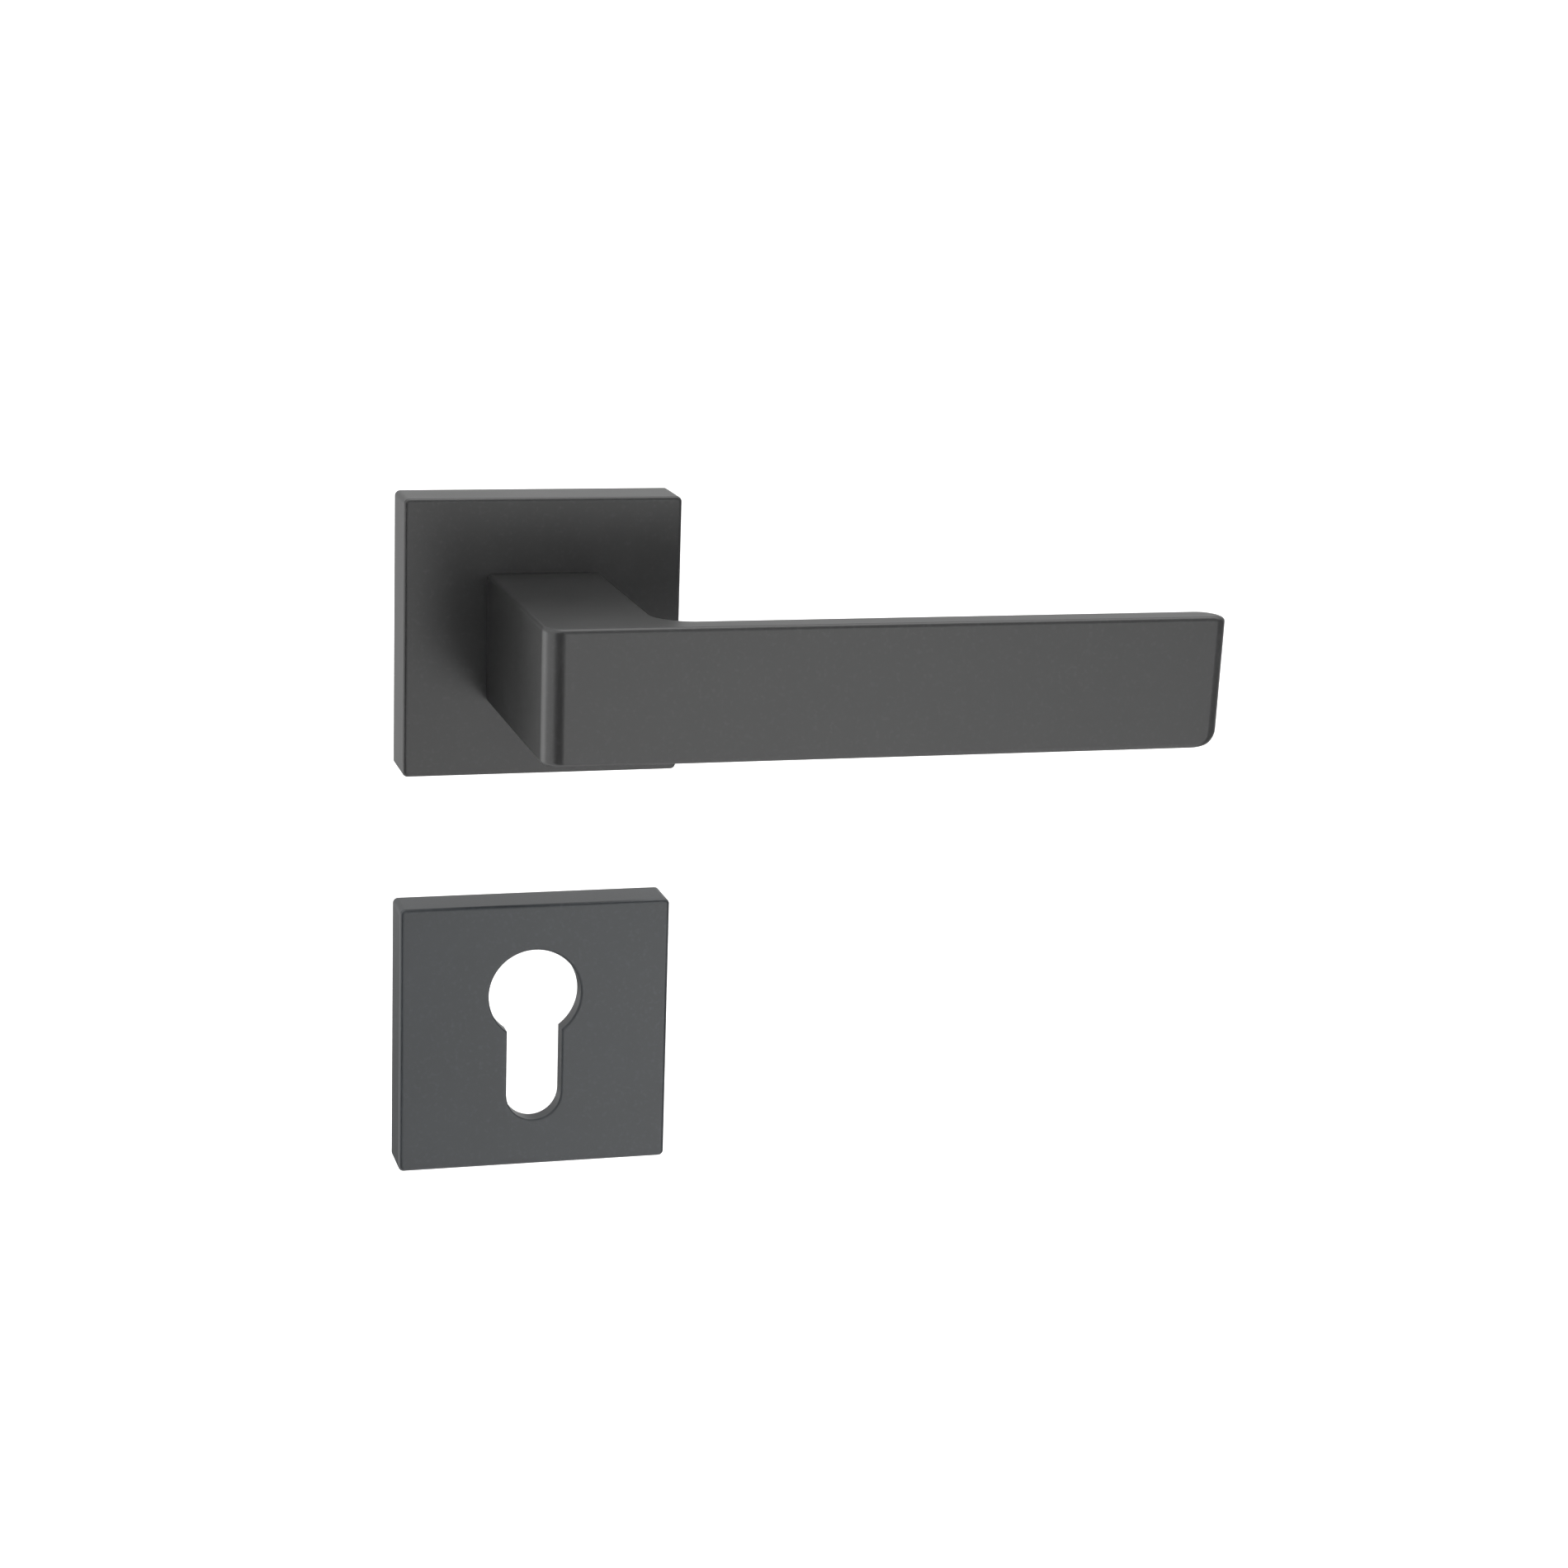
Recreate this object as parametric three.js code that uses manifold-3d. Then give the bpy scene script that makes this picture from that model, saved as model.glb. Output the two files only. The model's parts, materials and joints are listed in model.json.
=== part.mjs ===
// Door lever handle on a square rose, with a square escutcheon for a euro-profile cylinder.
// Millimetres. The door's face is the plane y = 0, the room is towards -y and +z is up.
// The origin is the point where the spindle's axis crosses the door's face.

import * as THREE from 'three';
import { mergeVertices } from 'three/addons/utils/BufferGeometryUtils.js';
import Module from 'manifold-3d';

const wasm = await Module();
wasm.setup();

// ---- Driving dimensions ----

const runningGap = 0.15;        // radial clearance of a turning fit
const restGap = 0.3;            // gap between pieces that lie against each other
const roundSegments = 40;       // facets around a large turned piece
const smallSegments = 20;       // facets around a screw

const coverSide = 52;           // rose and escutcheon covers are squares of one size
const coverCorner = 1.0;
const coverEdge = 0.6;          // softened front edge
const sideWall = 1.0;
const roseDepth = 11;
const roseFrontWall = 1.0;
const escutcheonDepth = 9;
const escutcheonFrontWall = 1.4;

const neckWidth = 21;
const leverHeight = 24;         // height of the neck and of the blade
const leverProjection = 65.2;   // door face to the front of the blade
const bladeThickness = 6;
const leverReach = 113.2;       // spindle axis to the free end, half way up
const leverEdge = 0.8;          // softened long edges
const outerTurnRadius = 3.6;    // outer corner between neck and blade
const innerTurnRadius = 7;      // fillet between neck and blade
const endFrontRadius = 2.2;     // free end, front corner in plan
const endBackRadius = 3.7;      // free end, back corner in plan
const endUpperCorner = 1.2;     // free end, upper corner from the front
const endLowerCorner = 3.2;     // free end, lower corner from the front
const endLean = 0.32;           // the free end's upper corner reaches this much further, its lower one less

const hubRadius = 8;
const hubEnd = -0.9;
const hubFlat = 6.9;            // half width across the two driving flats
const grooveRadius = 7.3;
const grooveFront = -2.2;
const grooveBack = -1.25;
const hubHoleGap = 0.4;         // between the hub and the rose cover's hole
const spindleSide = 8;
const spindleCorner = 0.35;
const spindleChamfer = 0.25;
const spindleClearance = 0.15;
const spindleInLever = -34;
const spindleTip = 52;
const grubDepth = -22;          // y of the grub screw
const grubRadius = 2.4;
const grubLength = 6.5;
const grubKeyRadius = 1.45;     // its hexagon socket, across the corners
const grubKeyDepth = 2.5;

const baseHalf = 24.2;
const baseCorner = 1.5;
const roseBaseFront = -9.1;
const escutcheonBaseFront = -7.3;
const screwSpacing = 38;        // the two fixing screws of each base
const bossRadius = 3.9;
const bossLength = 6;
const boltRadius = 1.95;
const boltHeadRadius = 3.6;
const boltHeadHeight = 2.4;
const boltLength = 30;          // M4 x 30, under the head
const boltHeadInset = 0.4;      // the head lies this far behind the base's front
const boltEdge = 0.4;
const boltPoint = 0.8;
const boltRecess = { reach: 2.1, halfWidth: 0.45, depth: 1.6 };

const bushInner = hubRadius + runningGap;
const bushOuter = 9.4;
const bushBack = -4.5;
const flangeRadius = 11.4;
const chamberInner = 11;
const chamberOuter = 14.6;
const chamberFront = -7.9;
const driverRadius = 10.7;
const driverFront = -3.9;
const driverBack = -2.7;
const washerRadius = 10.2;
const washerFront = -2.55;
const washerBack = -2.25;
const circlipRadius = 10;
const circlipFront = -2.05;
const circlipBack = -1.4;
const circlipGap = 0.22;        // half angle of its opening, at the bottom
const recessHalf = 22.3;
const recessFloor = -1.9;
const plateFront = -1.6;
const plateBack = -0.5;
const plateHalf = recessHalf - 0.4;
const plateCorner = 2;
const plateScrewOffset = 16.5;
const plateScrewRadius = 1.1;
const plateScrewHead = 2.2;
const plateScrewTip = -6.4;
const pilotRadius = 1.3;
const pilotEnd = -7;
const countersinkRadius = 2.55;
const clipStrip = 0.4;
const clipPocketDepth = 1;
const clipPocketHalf = 7.5;
const clipPocketBack = -1;
const roseClipFront = -7.4;
const escutcheonClipFront = -6.2;

const coilRadius = 12.8;
const wireRadius = 0.5;
const coilFront = -7.2;
const coilBack = -4.6;
const coilTurns = 2.3;
const springLegInner = 14.9;    // the fixed leg runs outwards between these radii
const springLegOuter = 16.3;
const legSlotOuter = 17;
const legSlotHalf = 0.9;

const leverTravel = THREE.MathUtils.degToRad(45);
const lugAngle = THREE.MathUtils.degToRad(202.5);   // at rest, from +x towards +z
const lugHalfWidth = 1.5;
const lugOuter = 14.3;
const notchInner = 10;
const notchOuter = 14.9;
const stopMargin = THREE.MathUtils.degToRad(8.8);   // lug's half angle and its gap to a stop

const axisToCylinder = 70;      // spindle to the centre of the round part of the key hole
const keyRoundRadius = 8.9;
const keySlotRadius = 5.3;
const keyHoleHeight = 34;
const keyCollarWall = 1.4;      // collar round the key hole, behind the cover's front wall
const keyCollarDepth = 2;
const baseKeyMargin = 3;        // the base stands back from the key hole
const basePocket = { x0: 13.6, x1: 22.4, z0: 6.2, z1: 22, floor: 1.5 };
const keyRoundRise = keyHoleHeight / 2 - keyRoundRadius;   // above the escutcheon's centre
const escutcheonZ = -(axisToCylinder + keyRoundRise);

// ---- Solids ----

function signedVolume(positions, triangles) {
  let sum = 0;
  const corner = [new THREE.Vector3(), new THREE.Vector3(), new THREE.Vector3()];
  for (let i = 0; i < triangles.length; i += 3) {
    corner.forEach((point, k) => point.fromArray(positions, 3 * triangles[i + k]));
    sum += corner[0].dot(corner[1].clone().cross(corner[2])) / 6;
  }
  return sum;
}

// A closed three.js geometry as a manifold solid with its faces pointing out.
function toSolid(geometry) {
  const plain = new THREE.BufferGeometry();
  plain.setAttribute('position', geometry.getAttribute('position').clone());
  plain.setIndex(geometry.getIndex());
  const merged = mergeVertices(plain, 1e-4);
  const positions = new Float32Array(merged.getAttribute('position').array);
  const index = merged.getIndex().array;
  const triangles = [];
  for (let i = 0; i < index.length; i += 3) {
    const [a, b, c] = [index[i], index[i + 1], index[i + 2]];
    if (a !== b && b !== c && c !== a) triangles.push(a, b, c);
  }
  if (signedVolume(positions, triangles) < 0) triangles.reverse();
  const triVerts = new Uint32Array(triangles);
  return new wasm.Manifold(new wasm.Mesh({ numProp: 3, vertProperties: positions, triVerts }));
}

function toGeometry(solid) {
  const result = solid.getMesh();
  const geometry = new THREE.BufferGeometry();
  geometry.setAttribute('position', new THREE.BufferAttribute(result.vertProperties, 3));
  geometry.setIndex(new THREE.BufferAttribute(result.triVerts, 1));
  geometry.computeVertexNormals();
  return geometry;
}

function block(x0, x1, y0, y1, z0, z1) {
  const geometry = new THREE.BoxGeometry(x1 - x0, y1 - y0, z1 - z0);
  geometry.translate((x0 + x1) / 2, (y0 + y1) / 2, (z0 + z1) / 2);
  return toSolid(geometry);
}

// A front-view outline (x, z) made solid between two depths; bevel softens both of its faces.
function prismAlongY(shape, yFront, yBack, bevel = 0, curveSegments = 12) {
  const geometry = new THREE.ExtrudeGeometry(shape, {
    depth: yBack - yFront - 2 * bevel,
    bevelEnabled: bevel > 0,
    bevelThickness: bevel,
    bevelSize: bevel,
    bevelOffset: -bevel,
    bevelSegments: 2,
    curveSegments,
  });
  geometry.rotateX(Math.PI / 2);
  geometry.translate(0, yBack - bevel, 0);
  return toSolid(geometry);
}

// A solid turned about the y axis from a closed profile of [radius, y] points, then moved to (x, z).
function turned(profile, x = 0, z = 0, segments = roundSegments) {
  const points = [...profile, profile[0]].map(([radius, y]) => new THREE.Vector2(radius, y));
  const geometry = new THREE.LatheGeometry(points, segments);
  geometry.translate(x, 0, z);
  return toSolid(geometry);
}

function rod(radius, y0, y1, x = 0, z = 0, segments = roundSegments) {
  return turned([[0, y0], [radius, y0], [radius, y1], [0, y1]], x, z, segments);
}

function ring(inner, outer, y0, y1) {
  return turned([[inner, y0], [outer, y0], [outer, y1], [inner, y1]]);
}

// ---- Outlines ----

function squareShape(half, corner, centreZ = 0) {
  const shape = new THREE.Shape();
  const inner = half - corner;
  shape.absarc(inner, centreZ + inner, corner, 0, Math.PI / 2);
  shape.absarc(-inner, centreZ + inner, corner, Math.PI / 2, Math.PI);
  shape.absarc(-inner, centreZ - inner, corner, Math.PI, 1.5 * Math.PI);
  shape.absarc(inner, centreZ - inner, corner, 1.5 * Math.PI, 2 * Math.PI);
  shape.closePath();
  return shape;
}

// The euro-profile key hole: a round part above and a slot with a round end below.
function keyHoleShape(offset) {
  const shape = new THREE.Shape();
  const round = keyRoundRadius + offset;
  const slot = keySlotRadius + offset;
  const roundZ = escutcheonZ + keyRoundRise;
  const slotZ = escutcheonZ - keyHoleHeight / 2 + keySlotRadius;
  const meet = Math.acos(slot / round);
  shape.absarc(0, roundZ, round, -meet, Math.PI + meet);
  shape.absarc(0, slotZ, slot, Math.PI, 2 * Math.PI);
  shape.closePath();
  return shape;
}

function leverPlan() {
  const shape = new THREE.Shape();
  const side = neckWidth / 2;
  const front = -leverProjection;
  const back = front + bladeThickness;
  const neckBack = -roseDepth - restGap;
  shape.moveTo(side, neckBack);
  shape.lineTo(-side, neckBack);
  shape.absarc(-side + outerTurnRadius, front + outerTurnRadius, outerTurnRadius, Math.PI, 1.5 * Math.PI);
  const end = leverReach;
  shape.absarc(end - endFrontRadius, front + endFrontRadius, endFrontRadius, 1.5 * Math.PI, 2 * Math.PI);
  shape.absarc(end - endBackRadius, back - endBackRadius, endBackRadius, 0, Math.PI / 2);
  shape.absarc(side + innerTurnRadius, back + innerTurnRadius, innerTurnRadius, 1.5 * Math.PI, Math.PI, true);
  shape.closePath();
  return shape;
}

// Outline of the lever from the front, wide enough to leave everything but the free end's corners.
function leverFrontShape() {
  const shape = new THREE.Shape();
  const half = leverHeight / 2;
  shape.moveTo(-neckWidth, half + 1);
  shape.lineTo(-neckWidth, -half - 1);
  shape.lineTo(0, -half - 1);
  shape.lineTo(0, -half);
  const [lower, upper] = [endLowerCorner, endUpperCorner];
  shape.absarc(leverReach - lower, -half + lower, lower, 1.5 * Math.PI, 2 * Math.PI);
  shape.absarc(leverReach - upper, half - upper, upper, 0, Math.PI / 2);
  shape.lineTo(0, half);
  shape.lineTo(0, half + 1);
  shape.closePath();
  return shape;
}

function sectorShape(inner, outer, from, to) {
  const shape = new THREE.Shape();
  shape.absarc(0, 0, outer, from, to);
  shape.absarc(0, 0, inner, to, from, true);
  shape.closePath();
  return shape;
}

// Leans the free end: everything beyond the neck moves along x in proportion to its height.
function leanFreeEnd(geometry) {
  const place = geometry.getAttribute('position');
  for (let i = 0; i < place.count; i += 1) {
    if (place.getX(i) > neckWidth * 2) {
      place.setX(i, place.getX(i) + endLean * place.getZ(i) / (leverHeight / 2));
    }
  }
  return geometry;
}

// ---- Materials ----

function material(color, roughness, metalness) {
  return new THREE.MeshStandardMaterial({ color, roughness, metalness });
}

const anthracite = material(0x4a4b4c, 0.45, 0.6);
const castZinc = material(0x9a9b9c, 0.5, 0.9);
const zincSteel = material(0xb4b6b8, 0.35, 1.0);
const springSteel = material(0x6f7174, 0.3, 1.0);
const nylon = material(0xe4e1d6, 0.6, 0.0);

// ---- Lever body ----

function leverBar() {
  const bar = new THREE.ExtrudeGeometry(leverPlan(), {
    depth: leverHeight - 2 * leverEdge,
    bevelEnabled: true,
    bevelThickness: leverEdge,
    bevelSize: leverEdge,
    bevelOffset: -leverEdge,
    bevelSegments: 2,
    curveSegments: 6,
  });
  bar.translate(0, 0, leverEdge - leverHeight / 2);
  const envelope = new THREE.ExtrudeGeometry(leverFrontShape(), {
    depth: leverProjection + 2,
    bevelEnabled: false,
    curveSegments: 12,
  });
  envelope.rotateX(Math.PI / 2);
  envelope.translate(0, 1, 0);
  return toSolid(leanFreeEnd(bar)).intersect(toSolid(leanFreeEnd(envelope)));
}

function leverHandle() {
  const hub = turned([
    [0, -roseDepth - 2], [hubRadius, -roseDepth - 2], [hubRadius, grooveFront], [grooveRadius, grooveFront],
    [grooveRadius, grooveBack], [hubRadius, grooveBack], [hubRadius, hubEnd], [0, hubEnd],
  ]);
  const flatFront = driverFront - 0.2;
  const rightFlat = block(hubFlat, hubRadius + 1, flatFront, 0, -hubRadius, hubRadius);
  const leftFlat = block(-hubRadius - 1, -hubFlat, flatFront, 0, -hubRadius, hubRadius);
  const half = spindleSide / 2 + spindleClearance;
  const socket = block(-half, half, spindleInLever - 0.5, 0, -half, half);
  const grubHole = zRod(grubRadius + runningGap, -leverHeight / 2 - 1, -half + 0.5);
  return leverBar().add(hub).subtract(rightFlat).subtract(leftFlat).subtract(socket).subtract(grubHole);
}

// A rod along z at the grub screw's place.
function zRod(radius, z0, z1, segments = smallSegments) {
  const geometry = new THREE.CylinderGeometry(radius, radius, z1 - z0, segments);
  geometry.rotateX(Math.PI / 2);
  geometry.translate(0, grubDepth, (z0 + z1) / 2);
  return toSolid(geometry);
}

function spindle() {
  const section = squareShape(spindleSide / 2, spindleCorner);
  return prismAlongY(section, spindleInLever, spindleTip, spindleChamfer, 1);
}

function grubScrew() {
  const top = -spindleSide / 2 - restGap;
  const bottom = top - grubLength;
  const keySocket = zRod(grubKeyRadius, bottom - 1, bottom + grubKeyDepth, 6);
  return zRod(grubRadius, bottom, top).subtract(keySocket);
}

function springDriver() {
  const bore = rod(bushInner, driverFront - 1, driverBack + 1);
  const flat = hubFlat + runningGap;
  const betweenFlats = block(-flat, flat, driverFront - 2, 0, -hubRadius - 1, hubRadius + 1);
  const arm = block(bushOuter, lugOuter, driverFront, driverBack, -lugHalfWidth, lugHalfWidth);
  const lug = block(chamberInner + 0.4, lugOuter, driverFront, plateBack, -lugHalfWidth, lugHalfWidth);
  const degrees = -THREE.MathUtils.radToDeg(lugAngle);
  return rod(driverRadius, driverFront, driverBack)
    .add(arm.add(lug).rotate([0, degrees, 0]))
    .subtract(bore.intersect(betweenFlats));
}

function thrustWasher() {
  return ring(bushInner, washerRadius, washerFront, washerBack);
}

function hubCirclip() {
  const from = circlipGap - Math.PI / 2;
  const clip = sectorShape(grooveRadius + runningGap, circlipRadius, from, Math.PI - from);
  return prismAlongY(clip, circlipFront, circlipBack, 0, 18);
}

// ---- Rose ----

function squareCover(depth, frontWall, centreZ) {
  const half = coverSide / 2;
  const inner = half - sideWall;
  const outside = prismAlongY(squareShape(half, coverCorner, centreZ), -depth, 1, coverEdge, 3);
  const behind = block(-half - 1, half + 1, 0, 2, centreZ - half - 1, centreZ + half + 1);
  const inside = prismAlongY(squareShape(inner, coverCorner / 2, centreZ), frontWall - depth, 1, 0, 3);
  return outside.subtract(behind).subtract(inside);
}

function roseCover() {
  return squareCover(roseDepth, roseFrontWall, 0).subtract(rod(hubRadius + hubHoleGap, -roseDepth - 1, 1));
}

// Boss that stands in the door, with the hole and the head recess of its screw.
function withScrewSeat(base, front, x, z) {
  const seat = front + boltHeadInset + boltHeadHeight + restGap;
  return base
    .add(rod(bossRadius, front + 4, bossLength, x, z, smallSegments))
    .subtract(rod(boltRadius + restGap, front - 1, bossLength + 1, x, z, smallSegments))
    .subtract(rod(boltHeadRadius + restGap, front - 1, seat, x, z, smallSegments));
}

// Span of a clip's pocket across the base's side, lowest value first.
function clipPocketSpan(side) {
  return [side * (baseHalf - clipPocketDepth), side * (baseHalf + 1)].sort((a, b) => a - b);
}

function roseBase() {
  let base = prismAlongY(squareShape(baseHalf, baseCorner), roseBaseFront, 0, 0, 3);
  base = base.subtract(prismAlongY(squareShape(recessHalf, baseCorner), recessFloor, 1, 0, 3));
  base = base.subtract(rod(bushOuter + restGap, roseBaseFront - 1, 1));
  base = base.subtract(ring(chamberInner, chamberOuter, chamberFront, 1));
  base = base.subtract(rod(chamberOuter, driverFront - restGap, 1));
  for (const z of [screwSpacing / 2, -screwSpacing / 2]) {
    base = withScrewSeat(base, roseBaseFront, 0, z);
  }
  for (const [x, z] of plateScrewPlaces()) {
    base = base.subtract(rod(pilotRadius, pilotEnd, 1, x, z, smallSegments));
  }
  for (const side of [-1, 1]) {
    const [x0, x1] = clipPocketSpan(side);
    base = base.subtract(block(x0, x1, roseClipFront, clipPocketBack, -clipPocketHalf, clipPocketHalf));
  }
  return base.subtract(springLegSlot());
}

// Radial slot in the chamber wall that holds the fixed leg of the spring.
function springLegSlot() {
  const degrees = -THREE.MathUtils.radToDeg(springLegAngle());
  return block(chamberOuter - 1, legSlotOuter, chamberFront, recessFloor + 1, -legSlotHalf, legSlotHalf)
    .rotate([0, degrees, 0]);
}

function plateScrewPlaces() {
  const a = plateScrewOffset;
  return [[-a, a], [a, a], [a, -a], [-a, -a]];
}

function bearingBush() {
  const flangeFront = roseFrontWall - roseDepth + 0.2;
  const flangeBack = roseBaseFront - 0.2;
  return turned([
    [bushInner, flangeFront], [flangeRadius, flangeFront], [flangeRadius, flangeBack],
    [bushOuter, flangeBack], [bushOuter, bushBack], [bushInner, bushBack],
  ]);
}

function tangAngle() {
  return lugAngle - THREE.MathUtils.degToRad(11);
}

function springLegAngle() {
  return tangAngle() + 2 * Math.PI * coilTurns;
}

// Centre line of the return spring: fixed leg, coil, then a tang beside the driver's lug.
function springLine() {
  const at = (radius, angle, y) => new THREE.Vector3(radius * Math.cos(angle), y, radius * Math.sin(angle));
  const start = springLegAngle();
  const end = tangAngle();
  const points = [at(springLegOuter, start, coilFront), at(springLegInner, start, coilFront)];
  const steps = Math.round(coilTurns * 20);
  for (let i = 0; i <= steps; i += 1) {
    const part = i / steps;
    points.push(at(coilRadius, start + (end - start) * part, coilFront + (coilBack - coilFront) * part));
  }
  points.push(at(coilRadius, end, coilBack + 1), at(coilRadius, end, driverBack + 0.2));
  return new THREE.CatmullRomCurve3(points, false, 'centripetal');
}

function returnSpring() {
  const section = new THREE.Shape();
  section.absarc(0, 0, wireRadius, 0, 2 * Math.PI);
  const tube = new THREE.ExtrudeGeometry(section, { steps: 96, curveSegments: 3, extrudePath: springLine() });
  return toSolid(tube);
}

function rearPlate() {
  let plate = prismAlongY(squareShape(plateHalf, plateCorner), plateFront, plateBack, 0, 4);
  plate = plate.subtract(rod(driverRadius + 0.1, plateFront - 1, 1));
  const firstStop = lugAngle - leverTravel - stopMargin;
  const notch = sectorShape(notchInner, notchOuter, firstStop, lugAngle + stopMargin);
  plate = plate.subtract(prismAlongY(notch, plateFront - 1, 1, 0, 12));
  for (const z of [screwSpacing / 2, -screwSpacing / 2]) {
    plate = plate.subtract(rod(bossRadius + restGap, plateFront - 1, 1, 0, z, smallSegments));
  }
  for (const [x, z] of plateScrewPlaces()) {
    const through = plateScrewRadius + 0.35;
    const wide = countersinkRadius;
    const countersink = [[0, -2], [through, -2], [through, plateFront], [wide, plateBack], [wide, 1], [0, 1]];
    plate = plate.subtract(turned(countersink, x, z, smallSegments));
  }
  return plate;
}

function crossRecess(x, z, y0, y1, reach, halfWidth) {
  return block(x - reach, x + reach, y0, y1, z - halfWidth, z + halfWidth)
    .add(block(x - halfWidth, x + halfWidth, y0, y1, z - reach, z + reach));
}

function plateScrew(x, z) {
  const shank = plateScrewRadius;
  const headBack = plateBack - 0.05;
  const profile = [
    [0, plateScrewTip], [shank, plateScrewTip + 0.8], [shank, plateFront - 0.1], [plateScrewHead, headBack],
    [0, headBack],
  ];
  return turned(profile, x, z, smallSegments).subtract(crossRecess(x, z, headBack - 0.95, 0, 1.3, 0.3));
}

// M4 screw with a low cylindrical head in front and its shank through the boss into the door.
function fixingScrew(baseFront, x, z) {
  const headFront = baseFront + boltHeadInset;
  const headBack = headFront + boltHeadHeight;
  const tip = headBack + boltLength;
  const profile = [
    [0, headFront], [boltHeadRadius - boltEdge, headFront], [boltHeadRadius, headFront + boltEdge],
    [boltHeadRadius, headBack], [boltRadius, headBack], [boltRadius, tip - boltPoint],
    [boltRadius - boltPoint, tip], [0, tip],
  ];
  const { reach, halfWidth, depth } = boltRecess;
  return turned(profile, x, z, smallSegments)
    .subtract(crossRecess(x, z, headFront - 1, headFront + depth, reach, halfWidth));
}

// Bowed strip of spring steel whose feet lie in a pocket of a base's side; side is +1 or -1.
function coverClip(side, pocketFront, pocketBack) {
  const strip = clipStrip;
  const foot = baseHalf - clipPocketDepth + 0.2;
  const crest = coverSide / 2 - sideWall - 0.2;
  const outerControl = 2 * crest - foot;
  const front = pocketFront + 0.4;
  const back = pocketBack - 0.4;
  const middle = (front + back) / 2;
  const shape = new THREE.Shape();
  shape.moveTo(side * foot, front);
  shape.quadraticCurveTo(side * outerControl, middle, side * foot, back);
  shape.lineTo(side * foot, back - strip);
  shape.quadraticCurveTo(side * (outerControl - 2 * strip), middle, side * foot, front + strip);
  shape.closePath();
  const depth = 2 * (clipPocketHalf - 0.7);
  const geometry = new THREE.ExtrudeGeometry(shape, { depth, bevelEnabled: false, curveSegments: 10 });
  geometry.translate(0, 0, -depth / 2);
  return toSolid(geometry);
}

// ---- Escutcheon ----

function escutcheonCover() {
  const wallBack = escutcheonFrontWall - escutcheonDepth;
  const collar = prismAlongY(keyHoleShape(keyCollarWall), wallBack - 0.4, wallBack + keyCollarDepth, 0, 12);
  const hole = prismAlongY(keyHoleShape(0), -escutcheonDepth - 1, 1, 0, 12);
  return squareCover(escutcheonDepth, escutcheonFrontWall, escutcheonZ).add(collar).subtract(hole);
}

function escutcheonBase() {
  const z = escutcheonZ;
  let base = prismAlongY(squareShape(baseHalf, baseCorner, z), escutcheonBaseFront, 0, 0, 3);
  for (const x of [screwSpacing / 2, -screwSpacing / 2]) {
    base = withScrewSeat(base, escutcheonBaseFront, x, z);
  }
  for (const sideX of [-1, 1]) {
    for (const sideZ of [-1, 1]) {
      base = base.subtract(lighteningPocket(sideX, sideZ));
    }
  }
  for (const side of [-1, 1]) {
    const [za, zb] = clipPocketSpan(side);
    base = base.subtract(
      block(-clipPocketHalf, clipPocketHalf, escutcheonClipFront, clipPocketBack, z + za, z + zb),
    );
  }
  return base.subtract(prismAlongY(keyHoleShape(baseKeyMargin), escutcheonBaseFront - 1, 1, 0, 12));
}

// One of the four hollows behind the escutcheon's base.
function lighteningPocket(sideX, sideZ) {
  const [xa, xb] = [basePocket.x0 * sideX, basePocket.x1 * sideX].sort((a, b) => a - b);
  const [za, zb] = [basePocket.z0 * sideZ, basePocket.z1 * sideZ].sort((a, b) => a - b);
  return block(xa, xb, escutcheonBaseFront + basePocket.floor, 1, escutcheonZ + za, escutcheonZ + zb);
}

// ---- Assembly ----

function piece(name, solid, look) {
  const mesh = new THREE.Mesh(toGeometry(solid), look);
  mesh.name = name;
  return mesh;
}

function leverBody() {
  const group = new THREE.Group();
  group.add(piece('lever_handle', leverHandle(), anthracite));
  group.add(piece('spindle', spindle(), zincSteel));
  group.add(piece('grub_screw', grubScrew(), springSteel));
  group.add(piece('spring_driver', springDriver(), zincSteel));
  group.add(piece('thrust_washer', thrustWasher(), nylon));
  group.add(piece('hub_circlip', hubCirclip(), springSteel));
  return group;
}

function roseBody() {
  const group = new THREE.Group();
  group.add(piece('rose_cover', roseCover(), anthracite));
  group.add(piece('rose_base', roseBase(), castZinc));
  group.add(piece('bearing_bush', bearingBush(), nylon));
  group.add(piece('return_spring', returnSpring(), springSteel));
  group.add(piece('rear_plate', rearPlate(), zincSteel));
  plateScrewPlaces().forEach(([x, z], i) => {
    group.add(piece(`plate_screw_${i + 1}`, plateScrew(x, z), zincSteel));
  });
  group.add(piece('rose_screw_upper', fixingScrew(roseBaseFront, 0, screwSpacing / 2), zincSteel));
  group.add(piece('rose_screw_lower', fixingScrew(roseBaseFront, 0, -screwSpacing / 2), zincSteel));
  group.add(piece('rose_clip_left', coverClip(-1, roseClipFront, clipPocketBack), springSteel));
  group.add(piece('rose_clip_right', coverClip(1, roseClipFront, clipPocketBack), springSteel));
  return group;
}

// The clips of the escutcheon lie above and below, so they are turned a quarter about y.
function uprightClip(name, side) {
  const clip = piece(name, coverClip(side, escutcheonClipFront, clipPocketBack), springSteel);
  clip.rotation.y = -Math.PI / 2;
  clip.position.z = escutcheonZ;
  return clip;
}

function escutcheonBody() {
  const group = new THREE.Group();
  group.add(piece('escutcheon_cover', escutcheonCover(), anthracite));
  group.add(piece('escutcheon_base', escutcheonBase(), castZinc));
  const front = escutcheonBaseFront;
  group.add(piece('escutcheon_screw_left', fixingScrew(front, -screwSpacing / 2, escutcheonZ), zincSteel));
  group.add(piece('escutcheon_screw_right', fixingScrew(front, screwSpacing / 2, escutcheonZ), zincSteel));
  group.add(uprightClip('escutcheon_clip_upper', 1));
  group.add(uprightClip('escutcheon_clip_lower', -1));
  return group;
}

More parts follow.
